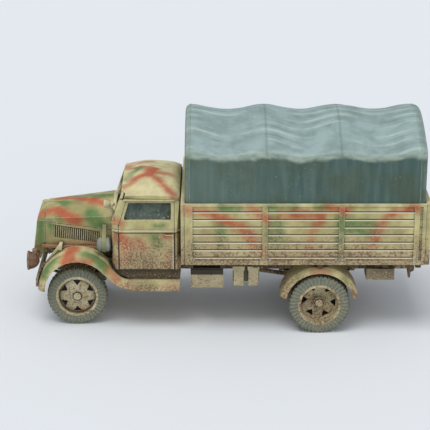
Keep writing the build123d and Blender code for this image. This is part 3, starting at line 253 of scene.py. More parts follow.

# Camouflage strokes: from, to and half width in millimetres on the truck's left side
RED_STROKES = {
    "bed": (
        ((8, 15.7, 27.3), (3, 15.7, 26.2), 1.0),
        ((3, 15.7, 26.2), (-3, 15.7, 23.5), 1.1),
        ((-3, 15.7, 23.5), (-7.2, 15.7, 17.5), 1.2),
        ((-5, 15.7, 27.3), (-8, 15.7, 25.4), 1.2),
        ((-11, 15.7, 26.2), (-19, 15.7, 26), 1.0),
        ((-19, 15.7, 25.6), (-17, 15.7, 22), 0.9),
        ((-17, 15.7, 22), (-16.5, 15.7, 17.5), 0.8),
        ((-20.5, 15.7, 27.6), (-24, 15.7, 27), 0.9),
        ((-38, 15.7, 27.8), (-32, 15.7, 26), 0.9),
        ((-32, 15.7, 26), (-29, 15.7, 19), 0.9),
        ((-41, 9, 27), (-41, -3, 19), 1.2),
        ((-41, -6, 26), (-41, -14, 20), 1.1),
        ((-41, -2, 17), (-41, 12, 20), 0.9),
    ),
    "cab": (
        ((15.5, -11, 28.6), (15.3, 2, 31.2), 1.0),
        ((15.3, 2, 31.2), (16, 4.4, 30.9), 1.5),
        ((16, 4.2, 30.9), (18.4, 5.4, 30.7), 1.1),
        ((18.4, 5.4, 30.7), (20.8, 8.2, 29.9), 0.9),
        ((15.6, 4.4, 30.9), (10.8, 10.8, 28.9), 0.9),
        ((14.4, 3.4, 31), (10.2, 3.7, 31), 0.6),
        ((21.9, 11.7, 19.8), (20, 11.7, 17.6), 1.5),
        ((20, 11.7, 17.6), (20.4, 11.7, 15), 1.3),
        ((17.8, 11.7, 18.6), (17.2, 11.7, 17.4), 1.0),
        ((12.4, 11.7, 20.2), (10.6, 11.7, 20), 0.6),
        ((23.6, 11, 23.6), (21.6, 11.6, 22.8), 0.7),
        ((23.4, 11.3, 15.2), (22.8, 11.4, 13.2), 0.9),
        ((21.4, 11.7, 17), (21.2, 11.7, 14), 0.8),
        ((12, 11.7, 15.4), (12.2, 11.7, 13.2), 0.7),
    ),
    "hood": (
        ((39.4, 4.6, 22.6), (35.5, 3.9, 23), 1.1),
        ((35.5, 3.9, 23), (31, 6.8, 21.6), 1.3),
        ((30.5, 0.3, 24.4), (25.8, 3.6, 24.3), 1.2),
        ((39.2, 7, 16), (27.1, 7, 16.1), 0.7),
    ),
    "fender": (
        ((31.8, 9, 16.5), (32.4, 13.4, 15.2), 1.7),
        ((32.4, 13.5, 15), (28, 13.5, 14.9), 0.6),
        ((24.4, 12, 12.6), (22.9, 12.8, 10.6), 1.0),
        ((12.4, 13.6, 9.4), (9.8, 13.6, 9.2), 0.6),
        ((20.6, 13.6, 9.8), (19.6, 13.6, 9.2), 0.7),
    ),
    "rear": (
        ((-18, 15.4, 13.6), (-20.5, 15.4, 13.6), 0.8),
        ((-12.2, 15.4, 9.6), (-11.6, 15.4, 8.4), 0.8),
        ((-25.6, 15.4, 9.4), (-26.2, 15.4, 8.2), 0.5),
    ),
}
GREEN_STROKES = {
    "bed": (
        ((1, 15.7, 27.4), (-2, 15.7, 27.4), 0.9),
        ((6.8, 15.7, 19.4), (6.4, 15.7, 16.4), 0.8),
        ((1.2, 15.7, 23.6), (1, 15.7, 19), 1.2),
        ((-8, 15.7, 27.8), (-13, 15.7, 27.3), 0.9),
        ((-9.5, 15.7, 25), (-10, 15.7, 20), 1.8),
        ((-18, 15.7, 27.8), (-20, 15.7, 27.5), 0.7),
        ((-23, 15.7, 25), (-23, 15.7, 16.5), 1.2),
        ((-24, 15.7, 24), (-29, 15.7, 23), 1.8),
        ((-41, 13, 24), (-41, 12, 17), 1.5),
        ((-41, -3, 27), (-41, -8, 18), 1.3),
    ),
    "cab": (
        ((21, 4.4, 30.9), (17.5, 0.2, 31.3), 0.9),
        ((17.5, 0.2, 31.3), (15.9, -0.9, 31.3), 0.8),
        ((13.7, -1.8, 31.2), (10.8, -1.3, 31.3), 1.3),
        ((14.7, 11.7, 19.6), (14.1, 11.7, 17.8), 1.1),
        ((17.2, 11.7, 15.2), (15.6, 11.7, 14), 0.9),
        ((13, 11.7, 22.3), (14.6, 11.7, 22.3), 0.6),
    ),
    "hood": (
        ((34.6, 1, 23.8), (33.6, 2, 23.8), 1.1),
        ((27.3, 1, 24.9), (23.7, 0.6, 25.3), 1.2),
        ((27.7, 6, 22.7), (26.6, 7.2, 21.3), 1.7),
        ((34.6, 6, 22), (34.2, 6.3, 21.6), 0.8),
        ((36.6, 6, 20.6), (36.2, 6.4, 19.6), 0.9),
        ((38.4, 5.8, 21), (38.8, 5.8, 16.5), 0.9),
    ),
    "fender": (
        ((37.8, 12.6, 12.2), (35, 12.2, 16), 1.3),
        ((28.4, 12, 16.4), (24.8, 12.6, 13.8), 1.5),
        ((17.4, 13.6, 9.9), (15, 13.6, 9.7), 0.7),
    ),
    "rear": (
        ((-14.6, 15.4, 12.4), (-13, 15.4, 10.8), 0.9),
        ((-24, 15.4, 12), (-25, 15.4, 10.6), 0.6),
    ),
}
# How far the strokes move along on the right side, how softly they were sprayed, and how far their
# edges wander and fray
STROKE_SHIFT = 5.5
SPRAY_EDGE = 1.0
STROKE_WANDER = 1.6
STROKE_FRAY = 0.35
# The tailgate lies behind this and has strokes of its own on both halves
TAIL_X = -40.2

# Looks of the areas: height where the mud starts, amount of mud, paling on upward faces, strength of the
# weakest and strongest strokes, and lightness
AreaLook = namedtuple("AreaLook", "mud_top mud_share fade weakest strongest lightness")
AREA_LOOKS = {
    "bed": AreaLook(27.0, 1.2, 0.4, 0.55, 0.95, 1.0),
    "cab": AreaLook(24.5, 1.12, 0.5, 0.8, 0.95, 1.0),
    "hood": AreaLook(19.5, 1.0, 0.0, 0.85, 0.95, 0.86),
    "fender": AreaLook(13.2, 1.5, 0.2, 0.85, 0.95, 1.04),
    "rear": AreaLook(16.5, 1.15, 0.3, 0.6, 0.85, 1.14),
}

# Painted grooves of the load bed: foot, pitch and top of its planks, half width of the bed without its
# posts, middle and half length of the sides, half width of the tailgate, and the lines
PLANK_FOOT = 15.4
PLANK_PITCH = 1.625
PLANK_TOP = 27.8
PLANK_FACE = 15.78
SIDE_MIDDLE = -15.7
SIDE_HALF = 22.9
TAIL_HALF = 15.0
GROOVE_WIDTH = 0.17
GROOVE_DROP = 0.2
GROOVE_STRENGTH = 0.75

# Painted seams of the cab, which lie beyond this half width: edges of the doors, and a painted shadow under
# the foot of the belt
DOOR_REACH = 11.0
DOOR_FRONT = 22.02
DOOR_REAR = 10.61
BELT_FOOT = 20.9
# Middle and half width of each line
FRONT_SEAM = (DOOR_FRONT, 0.2)
REAR_SEAM = (DOOR_REAR, 0.2)
FOOT_SEAM = (12.72, 0.28)
BELT_SHADOW = (BELT_FOOT - 0.1, 0.2)
BELT_EDGE = (BELT_FOOT + 0.36, 0.17)
REAR_EDGE = (DOOR_REAR + 0.32, 0.16)
# Strength of the dark lines, and of the pale lines, which are wear with a painted highlight
DARK_SEAM_AND_SHADOW = 0.8
PALE_SEAM = 0.4


def stroke_field(tree, place, strokes):
    """Distance in metres from the nearest stroke's edge, less than nothing inside it."""
    nearest = None
    for start, end, half_width in strokes:
        run = mm(*end) - mm(*start)
        away = vector_maths(tree, "SUBTRACT", place, mm(*start))
        along = vector_maths(tree, "DOT_PRODUCT", away, run, "Value")
        share = maths(tree, "DIVIDE", along, run.length_squared, clamp=True)
        step = add_node(tree, "ShaderNodeVectorMath", {0: run, "Scale": share}, operation="SCALE")
        gap = vector_maths(tree, "DISTANCE", away, step.outputs[0], "Value")
        edge = maths(tree, "SUBTRACT", gap, half_width * MM)
        nearest = edge if nearest is None else maths(tree, "MINIMUM", nearest, edge)
    return nearest


def camouflage(tree, place, area):
    """Cream paint with the area's soft strokes, which move along on the truck's right side."""
    look = AREA_LOOKS[area]
    parts = axes(tree, place)
    # 1 on the tailgate, whose strokes are neither moved along nor mirrored
    tail = below(tree, parts["X"], TAIL_X)
    unmoved = maths(tree, "ADD", parts["Y"], tail)
    width = maths(tree, "ABSOLUTE", parts["Y"])
    folded = add_node(tree, "ShaderNodeCombineXYZ", {
        "X": maths(tree, "ADD", parts["X"], ramp(tree, unmoved, -MM, MM, -STROKE_SHIFT * MM, 0.0)),
        "Y": add_node(tree, "ShaderNodeMix", {0: tail, 2: width, 3: parts["Y"]}).outputs[0],
        "Z": parts["Z"],
    }).outputs[0]
    blur = maths(tree, "ADD", sway(tree, noise(tree, place, 0.25), STROKE_WANDER),
                 sway(tree, noise(tree, place, 1.2), STROKE_FRAY))
    # Paler on upward faces
    paler_up = ramp(tree, axes(tree, facing(tree))["Z"], 0.2, 0.95, 0.0, look.fade)
    thin = ramp(tree, noise(tree, place, 0.35, 4.0), 0.3, 0.65, look.weakest, look.strongest)
    colour = mix(tree, ramp(tree, noise(tree, place, 0.12), 0.35, 0.65), CREAM, OCHRE)
    colour = mix(tree, paler_up, colour, PALE_TOP_TONE)
    colour = mix(tree, 1.0, colour, (look.lightness, look.lightness, look.lightness, 1.0), "MULTIPLY")
    for strokes, paint in ((GREEN_STROKES, GREEN), (RED_STROKES, RED_BROWN)):
        edge = maths(tree, "ADD", stroke_field(tree, folded, strokes[area]), blur)
        sprayed = ramp(tree, edge, -SPRAY_EDGE * MM, SPRAY_EDGE * MM, 1.0, 0.0)
        colour = mix(tree, product(tree, sprayed, thin), colour, paint)
    return colour


# Weathering that every painted material shares: radius of the worn edges, which also carry a painted
# highlight, reach of the dark wash out of a corner, which also paints the shade there, and the share of its
# starting height below which the mud is thickest
EDGE_RADIUS = 0.18
SHADE_WASH_REACH = 1.3
MUD_THICK = 0.55
# Specks of mud: the grain above which they show on bare paint, and how far mud lowers it
LIGHT_SPECKS = (0.64, 0.21)
DARK_SPECKS = (0.68, 0.185)


def hard_edges(tree):
    """The rounded normal at a hard edge, and a mask that is 1 on such edges."""
    rounded = add_node(tree, "ShaderNodeBevel", {"Radius": EDGE_RADIUS * MM}, samples=4).outputs[0]
    turn = maths(tree, "SUBTRACT", 1.0, vector_maths(tree, "DOT_PRODUCT", rounded, facing(tree), "Value"))
    return rounded, ramp(tree, turn, 0.01, 0.14)


def speckle(tree, grain, amount, bare, reach):
    """Specks of mud that spread as amount grows: grain above bare where there is none of it."""
    edge = maths(tree, "SUBTRACT", bare, product(tree, amount, reach))
    return ramp(tree, maths(tree, "SUBTRACT", grain, edge), -0.02, 0.05, 0.0, 0.85)


def weather(tree, place, colour, mud_top, mud_share, shade_wash=0.95, chips_and_highlight=0.9):
    """Tone changes, worn and highlighted edges, mud that thickens downwards, and a dark wash and painted
    shade in corners.
    """
    rounded, edges = hard_edges(tree)
    tone = ramp(tree, noise(tree, place, 0.25, 5.0, 0.7), 0.3, 0.7, 0.78, 1.14)
    tones = add_node(tree, "ShaderNodeCombineXYZ", {0: tone, 1: tone, 2: tone}).outputs[0]
    colour = mix(tree, 1.0, colour, tones, "MULTIPLY")
    # Worn edges painted pale, which also stand in for the highlight on them
    pale_share = product(tree, edges, ramp(tree, noise(tree, place, 1.1), 0.35, 0.6, 0.25, 1.0), chips_and_highlight)
    colour = mix(tree, pale_share, colour, EDGE_WEAR_AND_HIGHLIGHT)
    low = ramp(tree, axes(tree, place)["Z"], mud_top * MM, MUD_THICK * mud_top * MM)
    patches = noise(tree, place, 0.2, 3.0)
    amount = product(tree, low, ramp(tree, patches, 0.3, 0.6, 0.65 * mud_share, mud_share))
    grain = noise(tree, place, 2.6, 4.0, 0.8)
    other_grain = noise(tree, vector_maths(tree, "ADD", place, (0.3, 0.1, 0.2)), 2.2, 4.0, 0.8)
    light = speckle(tree, grain, amount, *LIGHT_SPECKS)
    dark = speckle(tree, other_grain, amount, *DARK_SPECKS)
    colour = mix(tree, product(tree, amount, 0.4), colour, MUD)
    colour = mix(tree, light, colour, mix(tree, patches, PALE_MUD, MUD))
    colour = mix(tree, product(tree, dark, 0.8), colour, DARK_MUD)
    # Dark wash in corners and recesses, which also paints the shade that falls there
    corner = maths(tree, "ADD", openness(tree, SHADE_WASH_REACH), product(tree, grain, 0.25))
    colour = mix(tree, ramp(tree, corner, 0.45, 1.05, shade_wash, 0.0), colour, DARK_WASH_AND_SHADE)
    return colour, rounded, grain


def show(tree, shader, kind="ShaderNodeOutputMaterial"):
    """Sends a shader to the output of its material or world."""
    tree.links.new(shader.outputs[0], add_node(tree, kind).inputs[0])


def finish(tree, colour, normal, roughness, bump_height, bump_depth, specular=0.35):
    """Gives an opaque material its shader."""
    bump = add_node(tree, "ShaderNodeBump", {
        "Strength": 1.0, "Distance": bump_depth * MM, "Height": bump_height, "Normal": normal})
    show(tree, add_node(tree, "ShaderNodeBsdfPrincipled", {
        "Base Color": colour, "Roughness": roughness, "Specular IOR Level": specular,
        "Normal": bump.outputs[0]}))


def new_material(name):
    """An empty node material and the object coordinates it starts from."""
    material = bpy.data.materials.new(name)
    material.use_nodes = True
    tree = material.node_tree
    tree.nodes.clear()
    return material, tree, add_node(tree, "ShaderNodeTexCoord").outputs["Object"]


def line_mask(tree, value, middle, half_width):
    """1 on a thin line where value is middle, both in millimetres."""
    return ramp(tree, apart(tree, value, middle), 0.5 * half_width * MM, half_width * MM, 1.0, 0.0)


def plank_lines(tree, parts, colour):
    """A dark line in each groove between the boards, and a pale line of wear and painted highlight on the
    edge below it.
    """
    width = maths(tree, "ABSOLUTE", parts["Y"])
    boards = highest(tree, below(tree, apart(tree, parts["X"], SIDE_MIDDLE), SIDE_HALF),
                     below(tree, width, TAIL_HALF))
    shown = product(tree, below(tree, width, PLANK_FACE), boards, below(tree, parts["Z"], PLANK_TOP))
    risen = maths(tree, "SUBTRACT", parts["Z"], (PLANK_FOOT - PLANK_PITCH / 2) * MM)
    step = maths(tree, "MODULO", risen, PLANK_PITCH * MM)
    for drop, paint in ((GROOVE_DROP, EDGE_WEAR_AND_HIGHLIGHT), (0.0, DARK_WASH_AND_SHADE)):
        line = line_mask(tree, step, PLANK_PITCH / 2 - drop, GROOVE_WIDTH)
        colour = mix(tree, product(tree, line, shown, GROOVE_STRENGTH), colour, paint)
    return colour


def door_lines(tree, parts, colour):
    """Dark seams round the doors, a painted shadow under their belt, and pale worn, highlighted edges beside
    them.
    """
    wide = above(tree, maths(tree, "ABSOLUTE", parts["Y"]), DOOR_REACH)
    low = product(tree, wide, below(tree, parts["Z"], BELT_FOOT))
    between = product(tree, wide, below(tree, parts["X"], DOOR_FRONT), above(tree, parts["X"], DOOR_REAR))
    upright = highest(tree, line_mask(tree, parts["X"], *FRONT_SEAM), line_mask(tree, parts["X"], *REAR_SEAM))
    dark = highest(tree, product(tree, upright, low),
                   product(tree, line_mask(tree, parts["Z"], *FOOT_SEAM), between),
                   product(tree, line_mask(tree, parts["Z"], *BELT_SHADOW), wide))
    for line, where in ((line_mask(tree, parts["Z"], *BELT_EDGE), wide),
                        (line_mask(tree, parts["X"], *REAR_EDGE), low)):
        colour = mix(tree, product(tree, line, where, PALE_SEAM), colour, EDGE_WEAR_AND_HIGHLIGHT)
    return mix(tree, product(tree, dark, DARK_SEAM_AND_SHADOW), colour, DARK_WASH_AND_SHADE)


AREA_LINES = {"bed": plank_lines, "cab": door_lines}


def camouflage_paint(area):
    """Sprayed camouflage on one area of the body work."""
    material, tree, place = new_material("camouflage_" + area)
    look = AREA_LOOKS[area]
    sprayed = camouflage(tree, place, area)
    colour, rounded, grain = weather(tree, place, sprayed, look.mud_top, look.mud_share)
    if area in AREA_LINES:
        colour = AREA_LINES[area](tree, axes(tree, place), colour)
    roughness = ramp(tree, noise(tree, place, 0.5), 0.3, 0.7, 0.62, 0.8)
    finish(tree, colour, rounded, roughness, grain, 0.05)
    return material


# Plain paint: strength of its dark wash and painted shade in corners, roughness and depth of its grain
PLAIN_SHADE_WASH = 0.85
PLAIN_ROUGHNESS = 0.72
PLAIN_GRAIN = 0.06


def two_tones(tree, place, first, second):
    """A colour that varies in patches between first and second."""
    return mix(tree, ramp(tree, noise(tree, place, 0.3), 0.35, 0.65), first, second)


def plain_paint(name, first, second, mud_top, mud_share, chips_and_highlight):
    """Paint in one colour that varies between first and second."""
    material, tree, place = new_material(name)
    base = two_tones(tree, place, first, second)
    colour, rounded, grain = weather(tree, place, base, mud_top, mud_share, PLAIN_SHADE_WASH, chips_and_highlight)
    finish(tree, colour, rounded, PLAIN_ROUGHNESS, grain, PLAIN_GRAIN)
    return material


# Tool boxes: height and amount of their mud, then height, softness and strength of the shadow painted on
# their upper part
BOX_MUD = (17.0, 0.8)
BOX_SHADE = 12.15
BOX_SHADE_EDGE = 0.15
BOX_SHADE_STRENGTH = 0.92


def tool_box_paint():
    """Pale paint on the boxes, with a painted shadow on their upper part, where the load bed shades them."""
    material, tree, place = new_material("tool_box_paint")
    colour, rounded, grain = weather(tree, place, two_tones(tree, place, BOX_CREAM, BOX_OCHRE), *BOX_MUD)
    shade = ramp(tree, axes(tree, place)["Z"], (BOX_SHADE - BOX_SHADE_EDGE) * MM,
                 (BOX_SHADE + BOX_SHADE_EDGE) * MM, 0.0, BOX_SHADE_STRENGTH)
    finish(tree, mix(tree, shade, colour, BOX_PAINTED_SHADOW), rounded, PLAIN_ROUGHNESS, grain, PLAIN_GRAIN)
    return material


def rubber():
    """Grey tyre rubber, pale on its edges from wear and painted highlight, with dust in the grooves."""
    material, tree, place = new_material("tyre_rubber")
    rounded, edges = hard_edges(tree)
    colour = mix(tree, noise(tree, place, 0.4), RUBBER_DARK, RUBBER_GREY)
    pale_patches = ramp(tree, noise(tree, place, 1.3, 4.0), 0.35, 0.7, 0.1, 0.8)
    colour = mix(tree, pale_patches, colour, RUBBER_DUST)
    colour = mix(tree, product(tree, edges, 0.6), colour, RUBBER_WEAR_AND_HIGHLIGHT)
    colour = mix(tree, ramp(tree, openness(tree, 0.6), 0.45, 0.92, 0.65, 0.0), colour, GROOVE_DUST)
    finish(tree, colour, rounded, 0.85, noise(tree, place, 3.0), 0.04, 0.2)
    return material


def canvas_swing(tree, parts):
    """1 at the bows of the tilt and -1 midway between two."""
    behind = maths(tree, "SUBTRACT", parts["X"], BOW_PLACES[0] * MM)
    return maths(tree, "COSINE", product(tree, behind, 2 * math.pi / (BOW_PITCH * MM)))


def canvas_band(tree, parts, place):
    """Where the canvas is pale along the shoulder: a soft wavy band that hangs lower between the bows."""
    middle = maths(tree, "ADD", product(tree, canvas_swing(tree, parts), BAND_SWING * MM), BAND_HEIGHT * MM)
    waver = sway(tree, noise(tree, place, 0.3, 2.0), BAND_WAVER)
    gap = maths(tree, "ADD", maths(tree, "SUBTRACT", parts["Z"], middle), waver)
    band = ramp(tree, maths(tree, "ABSOLUTE", gap), 0.1 * MM, 1.1 * MM, 1.0, 0.0)
    width = maths(tree, "ABSOLUTE", parts["Y"])
    beside = ramp(tree, width, SHOULDER_FROM * MM, SHOULDER_FULL * MM, 0.0, 0.85)
    patches = noise(tree, stretched(tree, place, 0.4, 1.0, 1.0), 0.6, 4.0)
    return product(tree, band, beside, ramp(tree, patches, 0.35, 0.6, 0.3, 1.0))


def canvas_creases(tree, parts, place):
    """Masks of the painted highlights on the crests and the painted shade in the hollows of the long creases
    along the top.
    """
    swing = product(tree, canvas_swing(tree, parts), 0.25 * MM)
    spread = maths(tree, "ADD", 1.0, product(tree, canvas_swing(tree, parts), 0.02))
    drawn = add_node(tree, "ShaderNodeCombineXYZ", {
        "X": product(tree, parts["X"], 0.16),
        "Y": product(tree, maths(tree, "ADD", parts["Y"], swing), spread),
    }).outputs[0]
    waves = add_node(tree, "ShaderNodeTexWave", {
        "Vector": drawn, "Scale": 0.12 / MM, "Distortion": 4.0, "Detail": 2.0, "Detail Scale": 0.8},
        bands_direction="Y").outputs["Fac"]
    patches = noise(tree, stretched(tree, place, 0.6, 1.0, 1.0), 0.2, 3.0)
    strength = ramp(tree, patches, 0.42, 0.68, 0.0, 0.8)
    crest = product(tree, ramp(tree, waves, 0.72, 1.0, 0.0, 0.8), strength)
    return crest, product(tree, ramp(tree, waves, 0.0, 0.25, 0.5, 0.0), strength)


def canvas():
    """Grey-green canvas, paler on its upward faces, with painted highlights and painted shade on its creases
    and folds.
    """
    material, tree, place = new_material("canvas")
    parts = axes(tree, place)
    surface = add_node(tree, "ShaderNodeNewGeometry").outputs
    up = axes(tree, surface["Normal"])["Z"]
    high = ramp(tree, up, 0.1, 0.6)
    streaks = noise(tree, stretched(tree, place, 1.0, 1.0, 0.12), 0.6, 4.0)
    stains = ramp(tree, noise(tree, place, 0.16, 5.0), 0.4, 0.66, 0.0, 0.45)
    colour = mix(tree, ramp(tree, parts["X"], -20 * MM, 6 * MM), CANVAS_DARK, CANVAS_LIGHT)
    colour = mix(tree, ramp(tree, streaks, 0.35, 0.7, 0.0, 0.45), colour, CANVAS_STREAK)
    colour = mix(tree, stains, colour, CANVAS_STAIN)
    # Paler on upward faces, in patches
    pale_patches = ramp(tree, noise(tree, place, 0.25, 4.0), 0.25, 0.7, 0.5, 0.95)
    colour = mix(tree, product(tree, ramp(tree, up, 0.05, 0.75), pale_patches), colour, CANVAS_UPPER_PALE)
    crest, hollow = canvas_creases(tree, parts, place)
    # Creases: painted shade in their hollows and painted highlight on their crests
    colour = mix(tree, product(tree, hollow, high), colour, CANVAS_HOLLOW_SHADE)
    colour = mix(tree, product(tree, crest, high), colour, CANVAS_CREST_HIGHLIGHT)
    colour = mix(tree, canvas_band(tree, parts, place), colour, CANVAS_BAND)
    # Painted highlight on raised folds, and painted shade in the hollows beside them
    pale_share = ramp(tree, noise(tree, place, 0.5, 4.0), 0.35, 0.6, 0.3, 1.0)
    raised = ramp(tree, surface["Pointiness"], 0.505, 0.54, 0.0, 0.5)
    colour = mix(tree, product(tree, raised, pale_share), colour, CANVAS_RAISED_HIGHLIGHT)
    colour = mix(tree, ramp(tree, surface["Pointiness"], 0.45, 0.495, 0.35, 0.0), colour, CANVAS_SEAM_AND_SHADE)
    specks = ramp(tree, noise(tree, place, 2.2, 2.0), 0.7, 0.74, 0.0, 0.55)
    colour = mix(tree, specks, colour, CANVAS_SPECK)
    on_top = ramp(tree, up, 0.0, 0.5, 0.35, 1.0)
    for seam in SEAM_PLACES:
        line = ramp(tree, apart(tree, parts["X"], seam), 0.05 * MM, 0.45 * MM, 0.2, 0.0)
        colour = mix(tree, product(tree, line, on_top), colour, CANVAS_SEAM_AND_SHADE)
    weave = {"Vector": place, "Scale": 2.4 / MM, "Distortion": 0.6}
    warp = add_node(tree, "ShaderNodeTexWave", weave, bands_direction="X").outputs["Fac"]
    weft = add_node(tree, "ShaderNodeTexWave", weave, bands_direction="Z").outputs["Fac"]
    threads = maths(tree, "ADD", highest(tree, warp, weft), noise(tree, place, 1.5, 4.0))
    finish(tree, colour, surface["Normal"], 0.88, threads, 0.03, 0.2)
    return material


# Heights between which the dust on the panes thins out
PANE_FOOT = 23.0
PANE_TOP = 27.0


def glass():
    """Clear panes with a film of dust and with specks that thicken downwards."""
    material, tree, place = new_material("window")
    film = ramp(tree, noise(tree, place, 0.5, 4.0), 0.3, 0.7, 0.25, 0.6)
    bare = ramp(tree, axes(tree, place)["Z"], PANE_FOOT * MM, PANE_TOP * MM, 0.56, 0.68)
    grain = noise(tree, place, 1.8, 3.0, 0.7)
    specks = ramp(tree, maths(tree, "SUBTRACT", grain, bare), 0.0, 0.06, 0.0, 0.8)
    clear = add_node(tree, "ShaderNodeBsdfPrincipled", {
        "Base Color": PANE, "Roughness": 0.08, "Transmission Weight": 1.0, "IOR": 1.1})
    dirt = add_node(tree, "ShaderNodeBsdfDiffuse", {"Color": mix(tree, specks, PANE_FILM, PANE_SPECK)})
    show(tree, add_node(tree, "ShaderNodeMixShader", {
        0: highest(tree, film, specks), 1: clear.outputs[0], 2: dirt.outputs[0]}))
    return material


def lens():
    """Milky ribbed lamp glass."""
    material, tree, place = new_material("lens")
    ribs = add_node(tree, "ShaderNodeTexWave", {"Vector": place, "Scale": 0.5 / MM}, bands_direction="Y")
    colour = mix(tree, noise(tree, place, 0.8, 4.0), LENS_CLEAN, LENS_DUSTY)
    finish(tree, colour, facing(tree), 0.25, ribs.outputs["Fac"], 0.08, 0.5)
    return material


# Plain paints: the two tones between which they vary, height and amount of their mud, and amount of worn
# edges with a painted highlight
PLAIN_PAINTS = {
    "wheel_paint": (rgb(226, 224, 190), rgb(200, 196, 156), 14.0, 0.85, 0.5),
    # The rear wheels' paint is darker, as painted shade under the load bed, and carries more mud
    "rear_wheel_paint": (rgb(222, 218, 182), rgb(176, 170, 128), 14.0, 1.1, 0.5),
    "dark_running_gear": (rgb(84, 74, 54), rgb(64, 56, 42), 16.0, 0.8, 0.25),
    "cab_inside": (rgb(78, 74, 58), rgb(62, 58, 46), 14.0, 0.9, 0.2),
    "box_paint": (rgb(206, 198, 162), rgb(184, 174, 136), 16.5, 0.85, 0.5),
    "grey_metal": (rgb(128, 132, 126), rgb(146, 148, 138), 14.0, 0.3, 0.5),
    "rusty_metal": (rgb(96, 66, 46), rgb(74, 58, 46), 12.0, 0.7, 0.1),
    "lamp_paint": (rgb(146, 112, 86), rgb(92, 66, 52), 12.0, 0.5, 0.9),
    "rear_box_paint": (rgb(140, 130, 104), rgb(112, 102, 80), 16.0, 0.9, 0.5),
    # Black of the ring round the wheel caps, and of the disc behind the hand holes, which paints their shade
    "ring_and_hole_shade_black": (rgb(24, 21, 17), rgb(14, 13, 11), 3.0, 0.2, 0.0),
    "strap_paint": (rgb(118, 128, 84), rgb(142, 140, 98), 14.0, 0.3, 0.5),
}
paints = {area: camouflage_paint(area) for area in AREA_LOOKS}
paints.update({name: plain_paint(name, *look) for name, look in PLAIN_PAINTS.items()})
tool_paint = tool_box_paint()
tyre_rubber = rubber()
lens_glass = lens()
tilt_canvas = canvas()
window_glass = glass()

# Finish of the CAD nodes: material, slot name, and how their names start. The first that fits
# counts, and the cab's paint fits every name.
NODE_FINISHES = (
    (paints["bed"], BODY_SLOT, ("bed_side", "headboard", "tailgate")),
    (paints["hood"], BODY_SLOT, ("hood", "radiator_shell", "grille")),
    (paints["fender"], BODY_SLOT, ("front_fender", "running_board")),
    (paints["rear"], BODY_SLOT, ("rear_fender",)),
    (paints["wheel_paint"], BODY_SLOT, ("wheel_front",)),
    (paints["rear_wheel_paint"], BODY_SLOT, ("wheel_rear",)),
    (paints["dark_running_gear"], GEAR_SLOT, (
        "chassis_frame", "leaf_springs", "front_axle", "rear_axle", "steering_linkage",
        "engine_and_gearbox", "propeller_shaft", "bed_bearers", "bed_sills", "tow_hook", "tail_bracket")),
    (paints["rusty_metal"], GEAR_SLOT, ("exhaust",)),
    (paints["cab_inside"], GEAR_SLOT, ("seat", "dashboard", "steering_wheel", "cab_floor")),
    (paints["box_paint"], BODY_SLOT, ("side_lamps", "fender_stays", "canister_rack")),
    (paints["strap_paint"], BODY_SLOT, ("air_cleaner_strap",)),
    (paints["grey_metal"], BODY_SLOT, ("air_cleaner",)),
    (paints["rear_box_paint"], BODY_SLOT, ("rear_box",)),
    (paints["lamp_paint"], BODY_SLOT, ("headlight",)),
    (tool_paint, BODY_SLOT, ("tool_boxes",)),
    (window_glass, WINDOW_SLOT, ("cab_glass",)),
    (paints["cab"], BODY_SLOT, ("",)),
)
for name, node in nodes.items():
    material, slot_name = next(row[:2] for row in NODE_FINISHES if name.startswith(row[2]))
    node.data.materials.clear()
    node.data.materials.append(material)


def add_piece(name, mesh, material, body="truck", smooth=True):
    """A finished object from a bmesh in metres, riding on a body."""
    data = bpy.data.meshes.new(name)
    bmesh.ops.recalc_face_normals(mesh, faces=mesh.faces)
    mesh.to_mesh(data)
    mesh.free()
    data.materials.append(material)
    for face in data.polygons:
        face.use_smooth = smooth
    piece = add_object(name, data)
    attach(piece, body)
    return piece


def circle(count, offset=0.0):
    """Cosine and sine of count places round a circle."""
    turns = [2 * math.pi * (step + offset) / count for step in range(count)]
    return [(math.cos(turn), math.sin(turn)) for turn in turns]


def add_skin(mesh, rings, closed=False):
    """Adds a skin over rings of points in millimetres. It is closed into a loop, or capped at both ends."""
    rings = [[mesh.verts.new(point * MM) for point in ring] for ring in rings]
    for first, second in zip(rings, rings[1:] + (rings[:1] if closed else [])):
        for step in range(len(first)):
            after = (step + 1) % len(first)
            mesh.faces.new((first[step], first[after], second[after], second[step]))
    if not closed:
        mesh.faces.new(list(reversed(rings[0])))
        mesh.faces.new(rings[-1])


# Canvas tilt: one skin over four bows, sagging between them, with rounded ends
tilt_low, tilt_high = corners("canvas_tilt")
SHOULDER_HEIGHT = 38.9
RIDGE_SAG = 0.9
SHOULDER_SAG = 0.9
SHOULDER_WANDER = 0.35
SIDE_PULL = 0.28
SIDE_RIPPLE = 0.12
# Long folds: how many there are from shoulder to ridge, and their height
FOLD_COUNT = 4.6
FOLD_HEIGHT = 0.34
# Ends: radius and steps of their rounded edge, columns across, and how far they fold and are pulled in
END_ROUND = 1.0
END_TURNS = 4
END_COLUMNS = 22
END_FOLD = 0.25
END_PULL = 0.3
# Steps from end to end, and rows from foot to shoulder and from shoulder to ridge
TILT_RINGS = 190
SIDE_ROWS = 16
TOP_ROWS = 46


def between_bows(x):
    """0 at a bow and 1 midway between two."""
    for front, rear in zip(BOW_PLACES, BOW_PLACES[1:]):
        if rear <= x <= front:
            return (0.5 - 0.5 * math.cos(2 * math.pi * (x - rear) / (front - rear))) ** 0.9
    return 0.0


